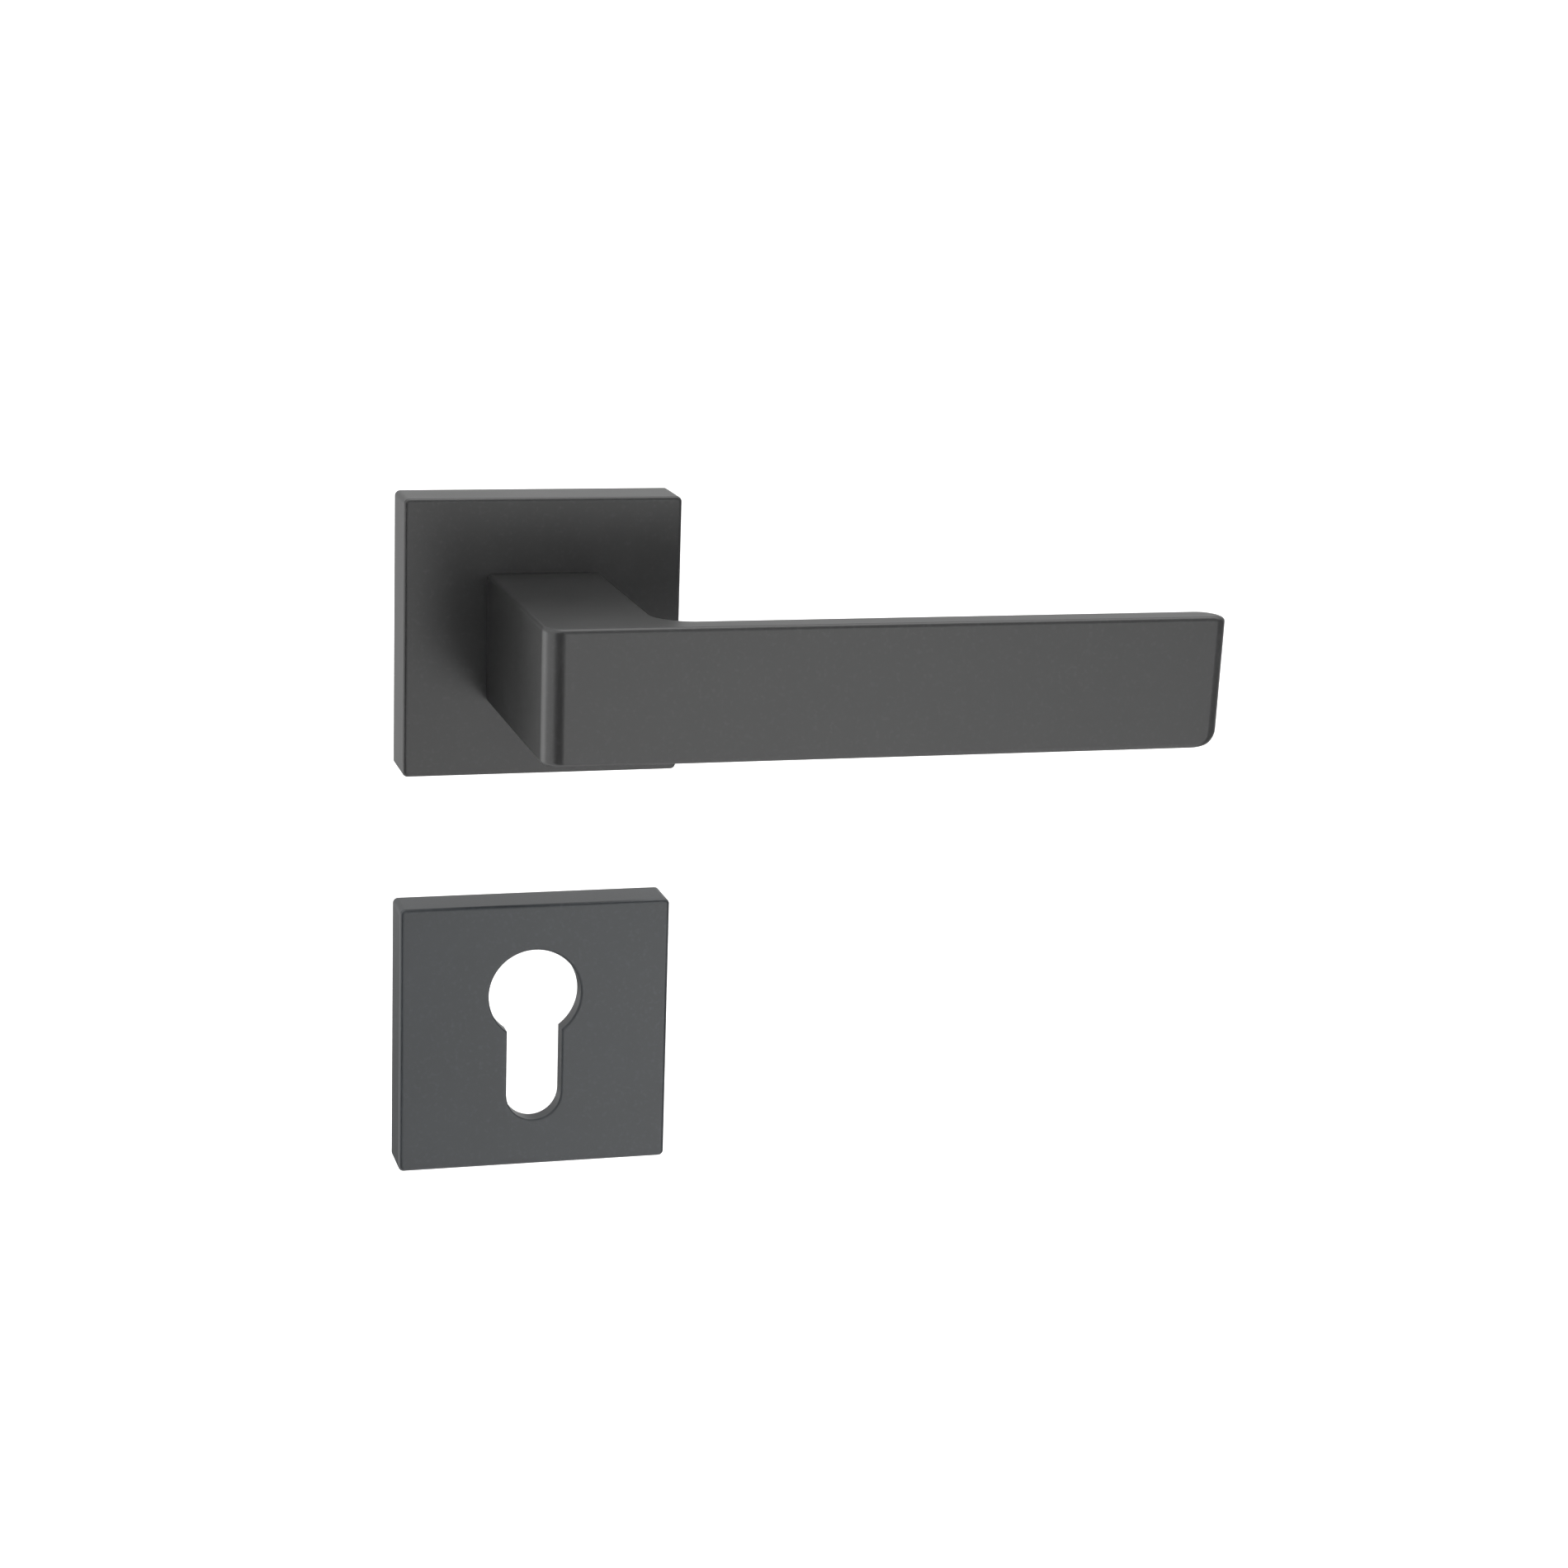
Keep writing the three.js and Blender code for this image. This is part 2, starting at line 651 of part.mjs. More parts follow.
const handle = new THREE.Group();
handle.add(leverBody());
handle.add(roseBody());
handle.add(escutcheonBody());

export default handle;
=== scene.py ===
"""Looks of a door lever handle on a square rose with a square key escutcheon.

Metres, in the CAD frame: the door's face is the plane y = 0, the room is towards -y, +z is up.
"""

import json
import math

import bmesh
import bpy
from mathutils import Matrix, Vector


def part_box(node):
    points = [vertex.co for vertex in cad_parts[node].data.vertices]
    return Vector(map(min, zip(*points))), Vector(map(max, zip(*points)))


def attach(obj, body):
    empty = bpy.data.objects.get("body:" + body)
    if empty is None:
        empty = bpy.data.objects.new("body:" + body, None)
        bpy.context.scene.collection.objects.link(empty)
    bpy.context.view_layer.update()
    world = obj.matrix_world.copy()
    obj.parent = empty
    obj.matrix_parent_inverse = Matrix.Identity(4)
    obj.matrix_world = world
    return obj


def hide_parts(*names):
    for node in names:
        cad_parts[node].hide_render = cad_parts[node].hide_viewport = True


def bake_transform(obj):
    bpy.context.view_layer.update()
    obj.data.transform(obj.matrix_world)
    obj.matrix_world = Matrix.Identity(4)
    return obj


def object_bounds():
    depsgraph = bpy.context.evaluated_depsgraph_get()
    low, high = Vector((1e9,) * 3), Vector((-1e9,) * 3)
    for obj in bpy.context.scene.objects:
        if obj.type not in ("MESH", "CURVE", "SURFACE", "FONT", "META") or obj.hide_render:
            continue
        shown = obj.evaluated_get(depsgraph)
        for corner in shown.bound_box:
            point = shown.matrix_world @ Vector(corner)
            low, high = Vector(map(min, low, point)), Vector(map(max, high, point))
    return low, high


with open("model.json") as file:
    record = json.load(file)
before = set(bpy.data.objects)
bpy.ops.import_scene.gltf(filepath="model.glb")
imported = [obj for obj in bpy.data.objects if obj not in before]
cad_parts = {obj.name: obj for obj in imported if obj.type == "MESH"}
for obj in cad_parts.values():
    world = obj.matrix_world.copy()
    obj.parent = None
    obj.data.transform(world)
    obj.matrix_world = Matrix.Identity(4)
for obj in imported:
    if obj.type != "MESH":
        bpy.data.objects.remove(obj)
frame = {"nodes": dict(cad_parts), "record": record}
cad_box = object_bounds()

MM = 0.001
TAU = 2 * math.pi

# ---- Sizes that the frame's boxes don't say, as the solids have them ----

COVER_CORNER = 1.0 * MM
COVER_EDGE = 0.6 * MM
COVER_INNER_CORNER = 1.4 * MM
COVER_LIP = 0.25 * MM               # rounding at the mouth of a cover's hole
SIDE_WALL = 1.0 * MM
ROSE_FRONT_WALL = 1.0 * MM
ESCUTCHEON_FRONT_WALL = 1.4 * MM
KEY_ROUND_RADIUS = 8.9 * MM
KEY_SLOT_RADIUS = 5.3 * MM
KEY_HOLE_HEIGHT = 34.0 * MM
COLLAR_WALL = 1.4 * MM
COLLAR_DEPTH = 2.0 * MM

BLADE_THICKNESS = 6.0 * MM
NECK_WIDTH = 21.0 * MM
NECK_GAP = 0.3 * MM
NECK_FOOT_EDGE = 0.25 * MM
LEVER_EDGE = 0.8 * MM
OUTER_TURN_RADIUS = 3.6 * MM
INNER_TURN_RADIUS = 7.0 * MM
END_FRONT_RADIUS = 2.2 * MM
END_BACK_RADIUS = 3.7 * MM
END_UPPER_CORNER = 1.2 * MM
END_LOWER_CORNER = 3.2 * MM
END_LEAN = 0.32 * MM

HUB_RADIUS = 8.0 * MM
HUB_HOLE_RADIUS = 8.4 * MM
HUB_ROOT = 1.5 * MM                 # the hub starts this far inside the neck
GROOVE_RADIUS = 7.3 * MM
GROOVE_FRONT = -2.2 * MM
GROOVE_BACK = -1.25 * MM
SPINDLE_CORNER = 0.35 * MM
SPINDLE_CHAMFER = 0.7 * MM
SPINDLE_CLEARANCE = 0.15 * MM
SOCKET_END_GAP = 0.5 * MM
GRUB_CLEARANCE = 0.15 * MM
GRUB_PITCH = 0.8 * MM
GRUB_THREAD_DEPTH = 0.4 * MM
GRUB_KEY_RADIUS = 1.45 * MM
GRUB_KEY_DEPTH = 2.5 * MM

BOLT_RADIUS = 1.95 * MM
BOLT_ROOT_RADIUS = 1.6 * MM
BOLT_PITCH = 0.7 * MM
BOLT_HEAD_RADIUS = 3.6 * MM
BOLT_HEAD_HEIGHT = 2.4 * MM
BOLT_HEAD_EDGE = 0.9 * MM
BOLT_NECK = 0.6 * MM                # plain length between head and thread
BOLT_RECESS = {"reach": 2.2 * MM, "width": 0.5 * MM, "depth": 1.7 * MM}
PLATE_SCREW_SHANK = 1.1 * MM
PLATE_SCREW_RECESS = {"reach": 1.35 * MM, "width": 0.32 * MM, "depth": 0.9 * MM}
RECESS_TAPER = 0.55                 # size of a cross recess at its floor, of its mouth's
THREAD_RUNOUT = 0.8 * MM
THREAD_CREST_FLAT = 0.16            # parts of a thread's pitch: its crest, and the groove's floor
THREAD_ROOT_FLAT = 0.12

BASE_CORNER = 1.5 * MM
BASE_KEY_MARGIN = 3.0 * MM
BOSS_RADIUS = 3.9 * MM
BOSS_HOLE_RADIUS = 2.25 * MM
BOSS_CHAMFER = 0.5 * MM
HEAD_SEAT_RADIUS = 3.9 * MM
HEAD_INSET = 0.4 * MM
HEAD_GAP = 0.3 * MM
POCKET_MIDDLE = (18.0 * MM, 14.1 * MM)
POCKET_HALF = (4.4 * MM, 7.9 * MM)
POCKET_CORNER = 1.5 * MM
POCKET_FLOOR = 1.5 * MM
CLIP_POCKET_HALF = 7.5 * MM
CLIP_POCKET_BACK = -1.0 * MM
ROSE_CLIP_FRONT = -7.4 * MM
ESCUTCHEON_CLIP_FRONT = -6.2 * MM
CLIP_STRIP = 0.35 * MM
BUSH_BORE_RADIUS = 9.7 * MM
CHAMBER_INNER = 11.0 * MM
CHAMBER_OUTER = 14.6 * MM
CHAMBER_FLOOR = 1.2 * MM
DRIVER_ROOM_FRONT = -4.2 * MM
PILOT_RADIUS = 1.3 * MM
PILOT_END = -7.0 * MM

PLATE_CORNER = 2.0 * MM
PLATE_EDGE = 0.15 * MM
PLATE_BORE_RADIUS = 10.8 * MM
PLATE_BOSS_HOLE_RADIUS = 4.2 * MM
PLATE_GAP = 0.4 * MM
RECESS_CORNER = 1.9 * MM
COUNTERSINK = (1.45 * MM, 2.5 * MM)
NOTCH_INNER = 10.0 * MM
NOTCH_OUTER = 14.9 * MM
DRIVER_RADIUS = 10.7 * MM
DRIVER_BACK = -2.7 * MM
DRIVER_BORE_RADIUS = 8.15 * MM
DRIVER_FLAT = 7.05 * MM
LUG_INNER = 11.4 * MM
LUG_OUTER = 14.3 * MM
LUG_HALF_WIDTH = 1.5 * MM
LUG_ROOT = 9.4 * MM
CIRCLIP_INNER_RADIUS = 7.45 * MM
CIRCLIP_OPENING = 0.22              # half angle of its gap
CIRCLIP_EAR = 0.09                  # angle from an end to the middle of its ear
CIRCLIP_EAR_RADIUS = 0.5 * MM

COIL_RADIUS = 12.8 * MM
WIRE_RADIUS = 0.5 * MM
WIRE_BEND = 1.2 * MM
COIL_TURNS = 2.3
COIL_LENGTH = 2.6 * MM
SPRING_LEG = (14.4 * MM, 16.3 * MM)
LEG_SLOT = (13.6 * MM, 17.0 * MM)
LEG_SLOT_HALF = 0.9 * MM
LEG_SLOT_BACK = -0.9 * MM
LUG_ANGLE = math.radians(202.5)
TANG_ANGLE = LUG_ANGLE - math.radians(11)
LEG_ANGLE = TANG_ANGLE + TAU * COIL_TURNS
LEVER_TRAVEL = math.radians(45)
STOP_MARGIN = math.radians(8.8)

PAST = 1.0 * MM                     # how far a cutter reaches past the face that it cuts


# ---- Meshes ----

def mesh_object(name, vertices, faces):
    mesh = bpy.data.meshes.new(name)
    mesh.from_pydata([tuple(v) for v in vertices], [], faces)
    mesh.validate()
    piece = bpy.data.objects.new(name, mesh)
    bpy.context.scene.collection.objects.link(piece)
    work = bmesh.new()
    work.from_mesh(mesh)
    bmesh.ops.recalc_face_normals(work, faces=work.faces)
    work.to_mesh(mesh)
    work.free()
    return piece


def loft(name, loops, ring=False):
    """A closed mesh through loops of equally many points; a ring joins the last loop to the first."""
    count = len(loops[0])
    vertices = [point for loop in loops for point in loop]
    faces = []
    spans = len(loops) if ring else len(loops) - 1
    for k in range(spans):
        a = k * count
        b = ((k + 1) % len(loops)) * count
        for i in range(count):
            j = (i + 1) % count
            faces.append((a + i, a + j, b + j, b + i))
    if not ring:
        faces.append(tuple(range(count)))
        faces.append(tuple(range(len(vertices) - count, len(vertices))))
    return mesh_object(name, vertices, faces)


def turned(name, profile, x=0.0, z=0.0, segments=64):
    """A solid turned about the y axis from (radius, y) points, moved to (x, z)."""
    loops = []
    for radius, y in profile:
        loops.append(circle_loop(radius, y, x, z, segments))
    return loft(name, loops)


def circle_loop(radius, y, x=0.0, z=0.0, segments=64):
    angles = [TAU * i / segments for i in range(segments)]
    return [Vector((x + radius * math.cos(a), y, z + radius * math.sin(a))) for a in angles]


def block(name, x0, x1, y0, y1, z0, z1):
    square = [(x0, z0), (x1, z0), (x1, z1), (x0, z1)]
    return loft(name, [[Vector((x, y, z)) for x, z in square] for y in (y0, y1)])


def bake_modifiers(piece):
    graph = bpy.context.evaluated_depsgraph_get()
    mesh = bpy.data.meshes.new_from_object(piece.evaluated_get(graph))
    piece.modifiers.clear()
    piece.data = mesh


def combine(piece, operation, tools):
    """Unites, cuts or intersects a piece with each tool, which is used up."""
    for tool in tools:
        step = piece.modifiers.new("combine", "BOOLEAN")
        step.operation = operation
        step.solver = "EXACT"
        step.object = tool
        bake_modifiers(piece)
        bpy.data.objects.remove(tool)
    return piece


def soften(piece, width, segments=2, angle=40):
    """Rounds every sharp edge by the same small width."""
    step = piece.modifiers.new("soften", "BEVEL")
    step.width = width
    step.segments = segments
    step.limit_method = "ANGLE"
    step.angle_limit = math.radians(angle)
    step.use_clamp_overlap = True
    bake_modifiers(piece)
    return piece


def shade(piece, angle=35):
    """Smooth faces that keep their edges, with flats kept flat."""
    mesh = piece.data
    mesh.shade_smooth()
    mesh.set_sharp_from_angle(angle=math.radians(angle))
    weighted = piece.modifiers.new("flats", "WEIGHTED_NORMAL")
    weighted.keep_sharp = True
    weighted.weight = 60
    return piece


def sweep(name, points, radius, sides=5):
    """A round wire along points, closed at both ends."""
    curve = bpy.data.curves.new(name, "CURVE")
    curve.dimensions = "3D"
    curve.bevel_depth = radius
    curve.bevel_resolution = sides
    curve.use_fill_caps = True
    spline = curve.splines.new("POLY")
    spline.points.add(len(points) - 1)
    for slot, point in zip(spline.points, points):
        slot.co = (*point, 1)
    piece = bpy.data.objects.new(name, curve)
    bpy.context.scene.collection.objects.link(piece)
    graph = bpy.context.evaluated_depsgraph_get()
    mesh = bpy.data.meshes.new_from_object(piece.evaluated_get(graph))
    bpy.data.objects.remove(piece)
    wire = bpy.data.objects.new(name, mesh)
    bpy.context.scene.collection.objects.link(wire)
    return wire


def finish_piece(piece, node, look):
    """Gives a new piece its material and its body, and hides the CAD node that it stands for."""
    piece.data.materials.clear()
    piece.data.materials.append(look)
    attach(piece, body_of(node))
    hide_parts(node)
    return piece


def body_of(node):
    bodies = frame["record"]["behaviour"]["bodies"]
    return next(name for name, nodes in bodies.items() if node in nodes)


# ---- Outlines: distance from a centre, by angle from +x towards +z ----

def circle_reach(angle, radius, rise=0.0):
    """Distance to a circle whose centre is rise above the origin."""
    along = rise * math.sin(angle)
    return along + math.sqrt(along * along - rise * rise + radius * radius)


def square_reach(angle, half, corner):
    c, s = abs(math.cos(angle)), abs(math.sin(angle))
    if c < s:
        c, s = s, c
    flat = half / c
    inner = half - corner
    if flat * s <= inner:
        return flat
    along = (c + s) * inner
    return along + math.sqrt(max(0.0, along * along - 2 * inner * inner + corner * corner))


def key_reach(angle, margin=0.0):
    """Distance to the euro-profile outline from the middle of its height."""
    rise = KEY_HOLE_HEIGHT / 2 - KEY_ROUND_RADIUS
    low = KEY_SLOT_RADIUS - KEY_HOLE_HEIGHT / 2
    slot = KEY_SLOT_RADIUS + margin
    c, s = math.cos(angle), math.sin(angle)
    side = slot / max(abs(c), 1e-9)
    if side * s < low:
        slot_reach = circle_reach(angle, slot, low)
    elif side * s > rise:
        slot_reach = 0.0
    else:
        slot_reach = side
    return max(slot_reach, circle_reach(angle, KEY_ROUND_RADIUS + margin, rise))


def key_notch_angle(margin):
    """Angle at which the slot meets the round part."""
    rise = KEY_HOLE_HEIGHT / 2 - KEY_ROUND_RADIUS
    round_part, slot = KEY_ROUND_RADIUS + margin, KEY_SLOT_RADIUS + margin
    return math.atan2(rise - math.sqrt(round_part ** 2 - slot ** 2), slot)


def outline_angles(extra=()):
    """Even angles, with finer ones round the four corners of a square, and any extra ones."""
    degrees = {i * 2.0 for i in range(180)}
    for quarter in range(4):
        middle = 45 + 90 * quarter
        degrees |= {middle + 0.25 * i for i in range(-8, 9)}
    found = {round(math.radians(d), 9) for d in degrees}
    for angle in extra:
        found |= {round(angle % TAU, 9), round((math.pi - angle) % TAU, 9)}
    return sorted(found)


def outline(angles, reach, y, centre_z=0.0):
    points = []
    for a in angles:
        r = reach(a)
        points.append(Vector((r * math.cos(a), y, centre_z + r * math.sin(a))))
    return points


# ---- Covers ----

def square_cover(name, node, front_wall, hole, collar=0.0, notches=()):
    """Square shell with a softened front edge and one hole; hole(angle, margin) is its outline."""
    low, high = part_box(node)
    half = (high.x - low.x) / 2
    centre_z = (low.z + high.z) / 2
    front = low.y
    back = high.y
    angles = outline_angles(notches)
    sharpest = 0.05 * MM
    rim = 0.15 * MM
    hold = 0.3 * MM

    def square(inset, y, corner=COVER_CORNER):
        radius = max(corner - inset, sharpest)
        return outline(angles, lambda a: square_reach(a, half - inset, radius), y, centre_z)

    def opening(margin, y):
        return outline(angles, lambda a: hole(a, margin), y, centre_z)

    loops = [square(rim, back), square(0, back - rim)]
    steps = 6
    for k in range(steps + 1):
        turn = math.pi / 2 * k / steps
        y = front + COVER_EDGE * (1 - math.sin(turn))
        loops.append(square(COVER_EDGE * (1 - math.cos(turn)), y))
    loops += [square(COVER_EDGE + hold * k, front) for k in (1, 3)]
    loops += [opening(COVER_LIP + hold * k, front) for k in (3, 1)]
    for k in range(4):
        turn = math.pi / 2 * k / 3
        loops.append(opening(COVER_LIP * (1 - math.sin(turn)), front + COVER_LIP * (1 - math.cos(turn))))
    inner = front + front_wall
    loops.append(opening(0, inner + collar))
    if collar:
        loops.append(opening(COLLAR_WALL, inner + collar))
        loops.append(opening(COLLAR_WALL, inner))
    loops += [square(SIDE_WALL, y, COVER_INNER_CORNER) for y in (inner, back)]
    return shade(loft(name, loops, ring=True))


def rose_cover():
    return square_cover("rose_shell", "rose_cover", ROSE_FRONT_WALL, lambda a, m: HUB_HOLE_RADIUS + m)


def escutcheon_cover():
    notches = [key_notch_angle(margin) for margin in (0, COVER_LIP, COLLAR_WALL)]
    return square_cover("escutcheon_shell", "escutcheon_cover", ESCUTCHEON_FRONT_WALL, key_reach,
                        COLLAR_DEPTH, notches)


# ---- Lever ----

def arc(cx, cy, radius, start, end, steps):
    angles = [start + (end - start) * i / steps for i in range(steps + 1)]
    return [(cx + radius * math.cos(a), cy + radius * math.sin(a)) for a in angles]


def lever_plan(inset, reach, low, neck_back):
    """Outline of neck and blade from above, drawn in by inset from a bar that ends at reach."""
    side = NECK_WIDTH / 2
    front = low.y
    back = front + BLADE_THICKNESS
    quarter = math.pi / 2
    foot = min(inset, NECK_FOOT_EDGE)
    points = [(side - inset, neck_back - foot), (-side + inset, neck_back - foot)]
    turn = OUTER_TURN_RADIUS
    points += arc(-side + turn, front + turn, turn - inset, 2 * quarter, 3 * quarter, 14)
    turn = END_FRONT_RADIUS
    points += arc(reach - turn, front + turn, turn - inset, 3 * quarter, 4 * quarter, 12)
    turn = END_BACK_RADIUS
    points += arc(reach - turn, back - turn, turn - inset, 0, quarter, 8)
    turn = INNER_TURN_RADIUS
    points += arc(side + turn, back + turn, turn + inset, 3 * quarter, 2 * quarter, 16)
    return points


def lever_handle():
    """Neck and blade as one bar with softened edges, the hub behind it, and the spindle's socket."""
    low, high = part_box("lever_handle")
    half = (high.z - low.z) / 2
    neck_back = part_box("rose_cover")[0].y - NECK_GAP
    middle_reach = high.x - END_LEAN * (half - END_UPPER_CORNER) / half
    loops = []
    for z, inset, drop in lever_levels(half):
        reach = middle_reach + END_LEAN * z / half - drop
        plan = lever_plan(inset, reach, low, neck_back)
        loops.append([Vector((x, y, z)) for x, y in plan])
    bar = loft("lever_bar", loops)
    combine(bar, "UNION", [lever_hub(neck_back, high.y)])
    side = (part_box("spindle")[1].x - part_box("spindle")[0].x) / 2 + SPINDLE_CLEARANCE
    socket_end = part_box("spindle")[0].y - SOCKET_END_GAP
    socket = block("socket", -side, side, socket_end, PAST, -side, side)
    combine(bar, "DIFFERENCE", [socket, grub_hole(low, side)])
    return shade(bar)


def lever_levels(half):
    """Heights of the bar's outlines, with how far each is drawn in and its free end set back."""
    levels = []
    for side, corner in ((-1, END_LOWER_CORNER), (1, END_UPPER_CORNER)):
        depths = {corner * (1 - math.sin(math.pi / 2 * k / 8)) for k in range(9)}
        depths |= {LEVER_EDGE * (1 - math.sin(math.pi / 2 * k / 6)) for k in range(7)}
        for depth in depths:
            inset = LEVER_EDGE - rounding(LEVER_EDGE, depth)
            drop = corner - rounding(corner, depth)
            levels.append((side * (half - depth), inset, drop))
    return sorted(levels)


def rounding(radius, depth):
    """Height of a quarter round at a depth below its top."""
    if depth >= radius:
        return radius
    return math.sqrt(radius * radius - (radius - depth) ** 2)


def lever_hub(neck_back, hub_end):
    """Round hub with the circlip's groove, slightly tapered at its end."""
    taper = 0.09 * MM
    profile = [
        (HUB_RADIUS, neck_back - HUB_ROOT), (HUB_RADIUS, GROOVE_FRONT), (GROOVE_RADIUS, GROOVE_FRONT),
        (GROOVE_RADIUS, GROOVE_BACK), (HUB_RADIUS, GROOVE_BACK), (HUB_RADIUS - taper, hub_end),
    ]
    return turned("hub", profile, segments=96)


def grub_hole(low, side):
    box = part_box("grub_screw")
    centre = (box[0] + box[1]) / 2
    radius = (box[1].x - box[0].x) / 2 + GRUB_CLEARANCE
    into_socket = 0.5 * MM
    return z_rod("grub_hole", radius, centre.y, low.z - PAST, -side + into_socket)


def z_rod(name, radius, y, z0, z1, segments=48):
    return loft(name, [z_loop(lambda a: radius, y, z, segments) for z in (z0, z1)])


def z_loop(radius_at, y, z, segments):
    """A closed loop about the z direction, whose radius may vary with the angle."""
    points = []
    for i in range(segments):
        a = TAU * i / segments
        r = radius_at(a)
        points.append(Vector((r * math.cos(a), y + r * math.sin(a), z)))
    return points


def grub_screw():
    """Threaded set screw with a hexagon socket."""
    low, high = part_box("grub_screw")
    centre_y = (low.y + high.y) / 2
    crest = (high.x - low.x) / 2
    root = crest - GRUB_THREAD_DEPTH
    loops = []
    for z in thread_levels(low.z, high.z, GRUB_PITCH):
        edge = min(z - low.z, high.z - z)
        loops.append(z_loop(lambda a: thread_radius(z, a, GRUB_PITCH, root, crest, edge), centre_y, z, 48))
    screw = loft("set_screw", loops)
    key = z_rod("key", GRUB_KEY_RADIUS, centre_y, low.z - PAST, low.z + GRUB_KEY_DEPTH, 6)
    return shade(combine(screw, "DIFFERENCE", [key]))


def spindle():
    """Square bar with chamfered ends."""
    low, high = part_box("spindle")
    half = (high.x - low.x) / 2
    return shade(square_slab("square_spindle", half, SPINDLE_CORNER, low.y, high.y, edge=SPINDLE_CHAMFER))


# ---- Screws ----

def thread_levels(start, end, pitch, steps=10):
    count = max(2, round((end - start) / pitch * steps))
    return [start + (end - start) * i / count for i in range(count + 1)]


def thread_radius(position, angle, pitch, root, crest, edge):
    """Radius of a right-handed thread about +y or +z; edge is the distance to its nearer end."""
    phase = (position / pitch + angle / TAU) % 1.0
    flank = 1 - THREAD_ROOT_FLAT - THREAD_CREST_FLAT
    rise = min(1.0, max(0.0, (abs(phase - 0.5) * 2 - THREAD_ROOT_FLAT) / flank))
    limit = root + (crest - root) * min(1.0, edge / THREAD_RUNOUT)
    return min(limit, root + (crest - root) * rise)


def cross_recess(x, z, mouth, inward, reach, width, depth):
    """Two crossed tapering slots; inward is +1 where they run towards +y from the mouth."""
    outside = mouth - inward * 0.1 * MM
    floor = mouth + inward * depth
    tools = []
    for along_x in (True, False):
        loops = []
        for y, share in ((outside, 1.0), (floor, RECESS_TAPER)):
            a, b = (reach * share, width * share) if along_x else (width * share, reach * share)
            corners = [(-a, -b), (a, -b), (a, b), (-a, b)]
            loops.append([Vector((x + u, y, z + v)) for u, v in corners])
        tools.append(loft("recess", loops))
    return tools


def fixing_screw(name, node):
    """M4 screw: pan head with a cross recess in front, threaded shank into the door."""
    low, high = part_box(node)
    x, z = (low.x + high.x) / 2, (low.z + high.z) / 2
    head_back = low.y + BOLT_HEAD_HEIGHT
    segments = 40
    steps = 6
    loops = []
    for k in range(steps + 1):
        turn = math.pi / 2 * k / steps
        radius = BOLT_HEAD_RADIUS - BOLT_HEAD_EDGE * (1 - math.sin(turn))
        loops.append(circle_loop(radius, low.y + BOLT_HEAD_EDGE * (1 - math.cos(turn)), x, z, segments))
    loops.append(circle_loop(BOLT_HEAD_RADIUS, head_back, x, z, segments))
    loops.append(circle_loop(BOLT_ROOT_RADIUS, head_back, x, z, segments))
    start, end = head_back + BOLT_NECK, high.y
    for y in thread_levels(start, end, BOLT_PITCH):
        edge = min(y - start, end - y)
        loop = []
        for i in range(segments):
            a = TAU * i / segments
            r = thread_radius(y, a, BOLT_PITCH, BOLT_ROOT_RADIUS, BOLT_RADIUS, edge)
            loop.append(Vector((x + r * math.cos(a), y, z + r * math.sin(a))))
        loops.append(loop)
    screw = loft(name, loops)
    recess = cross_recess(x, z, low.y, 1, **BOLT_RECESS)
    return shade(combine(screw, "DIFFERENCE", recess))


def plate_screw(name, node):
    """Small countersunk screw whose head lies level with the rear plate."""
    low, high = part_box(node)
    x, z = (low.x + high.x) / 2, (low.z + high.z) / 2
    head = (high.x - low.x) / 2
    shank = PLATE_SCREW_SHANK
    tip, cone, rim, edge = 0.8 * MM, 1.15 * MM, 0.12 * MM, 0.1 * MM
    profile = [(0.2 * MM, low.y), (shank, low.y + tip), (shank, high.y - cone),
               (head, high.y - rim), (head - edge, high.y)]
    screw = turned(name, profile, x, z, 40)
    recess = cross_recess(x, z, high.y, -1, **PLATE_SCREW_RECESS)
    return shade(combine(screw, "DIFFERENCE", recess))


# ---- Spring parts ----

def return_spring():
    """Torsion spring: a leg held in the base, the coil, and a tang beside the driver's lug."""
    low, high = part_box("return_spring")
    coil_front = low.y + WIRE_RADIUS
    coil_back = coil_front + COIL_LENGTH

    def at(radius, angle, y):
        return Vector((radius * math.cos(angle), y, radius * math.sin(angle)))

    points = [at(radius, LEG_ANGLE, coil_front) for radius in reversed(SPRING_LEG)]
    for k in range(1, 7):
        turn = math.pi / 2 * k / 6
        radius = COIL_RADIUS + WIRE_BEND * (1 - math.sin(turn))
        points.append(at(radius, LEG_ANGLE - WIRE_BEND / COIL_RADIUS * (1 - math.cos(turn)), coil_front))
    steps = round(COIL_TURNS * 60)
    for i in range(4, steps - 2):
        share = i / steps
        angle = LEG_ANGLE + (TANG_ANGLE - LEG_ANGLE) * share
        points.append(at(COIL_RADIUS, angle, coil_front + COIL_LENGTH * share))
    tang_start = TANG_ANGLE + 0.06
    tang_turn = 0.6 * WIRE_BEND / COIL_RADIUS
    for k in range(1, 6):
        turn = math.pi / 2 * k / 5
        points.append(at(COIL_RADIUS, tang_start - tang_turn * math.sin(turn),
                         coil_back + WIRE_BEND * (1 - math.cos(turn))))
    points.append(at(COIL_RADIUS, tang_start - tang_turn, high.y))
    return shade(sweep("torsion_spring", points, WIRE_RADIUS), 50)


def wind_spring(spring, look):
    """The real spring's front end stays with the rose and its tang turns with the lever; here the spring
    only gets its material and takes the place of the CAD spring, which is hidden.
    """
    spring.data.materials.clear()
    spring.data.materials.append(look)
    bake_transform(spring)
    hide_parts("return_spring")


def ring_sector(name, inner, outer, start, end, y0, y1, steps=48):
    """A flat band between two radii and two angles."""
    loops = []
    for i in range(steps + 1):
        a = start + (end - start) * i / steps
        c, s = math.cos(a), math.sin(a)
        corners = [(inner, y0), (outer, y0), (outer, y1), (inner, y1)]
        loops.append([Vector((r * c, y, r * s)) for r, y in corners])
    return loft(name, loops)


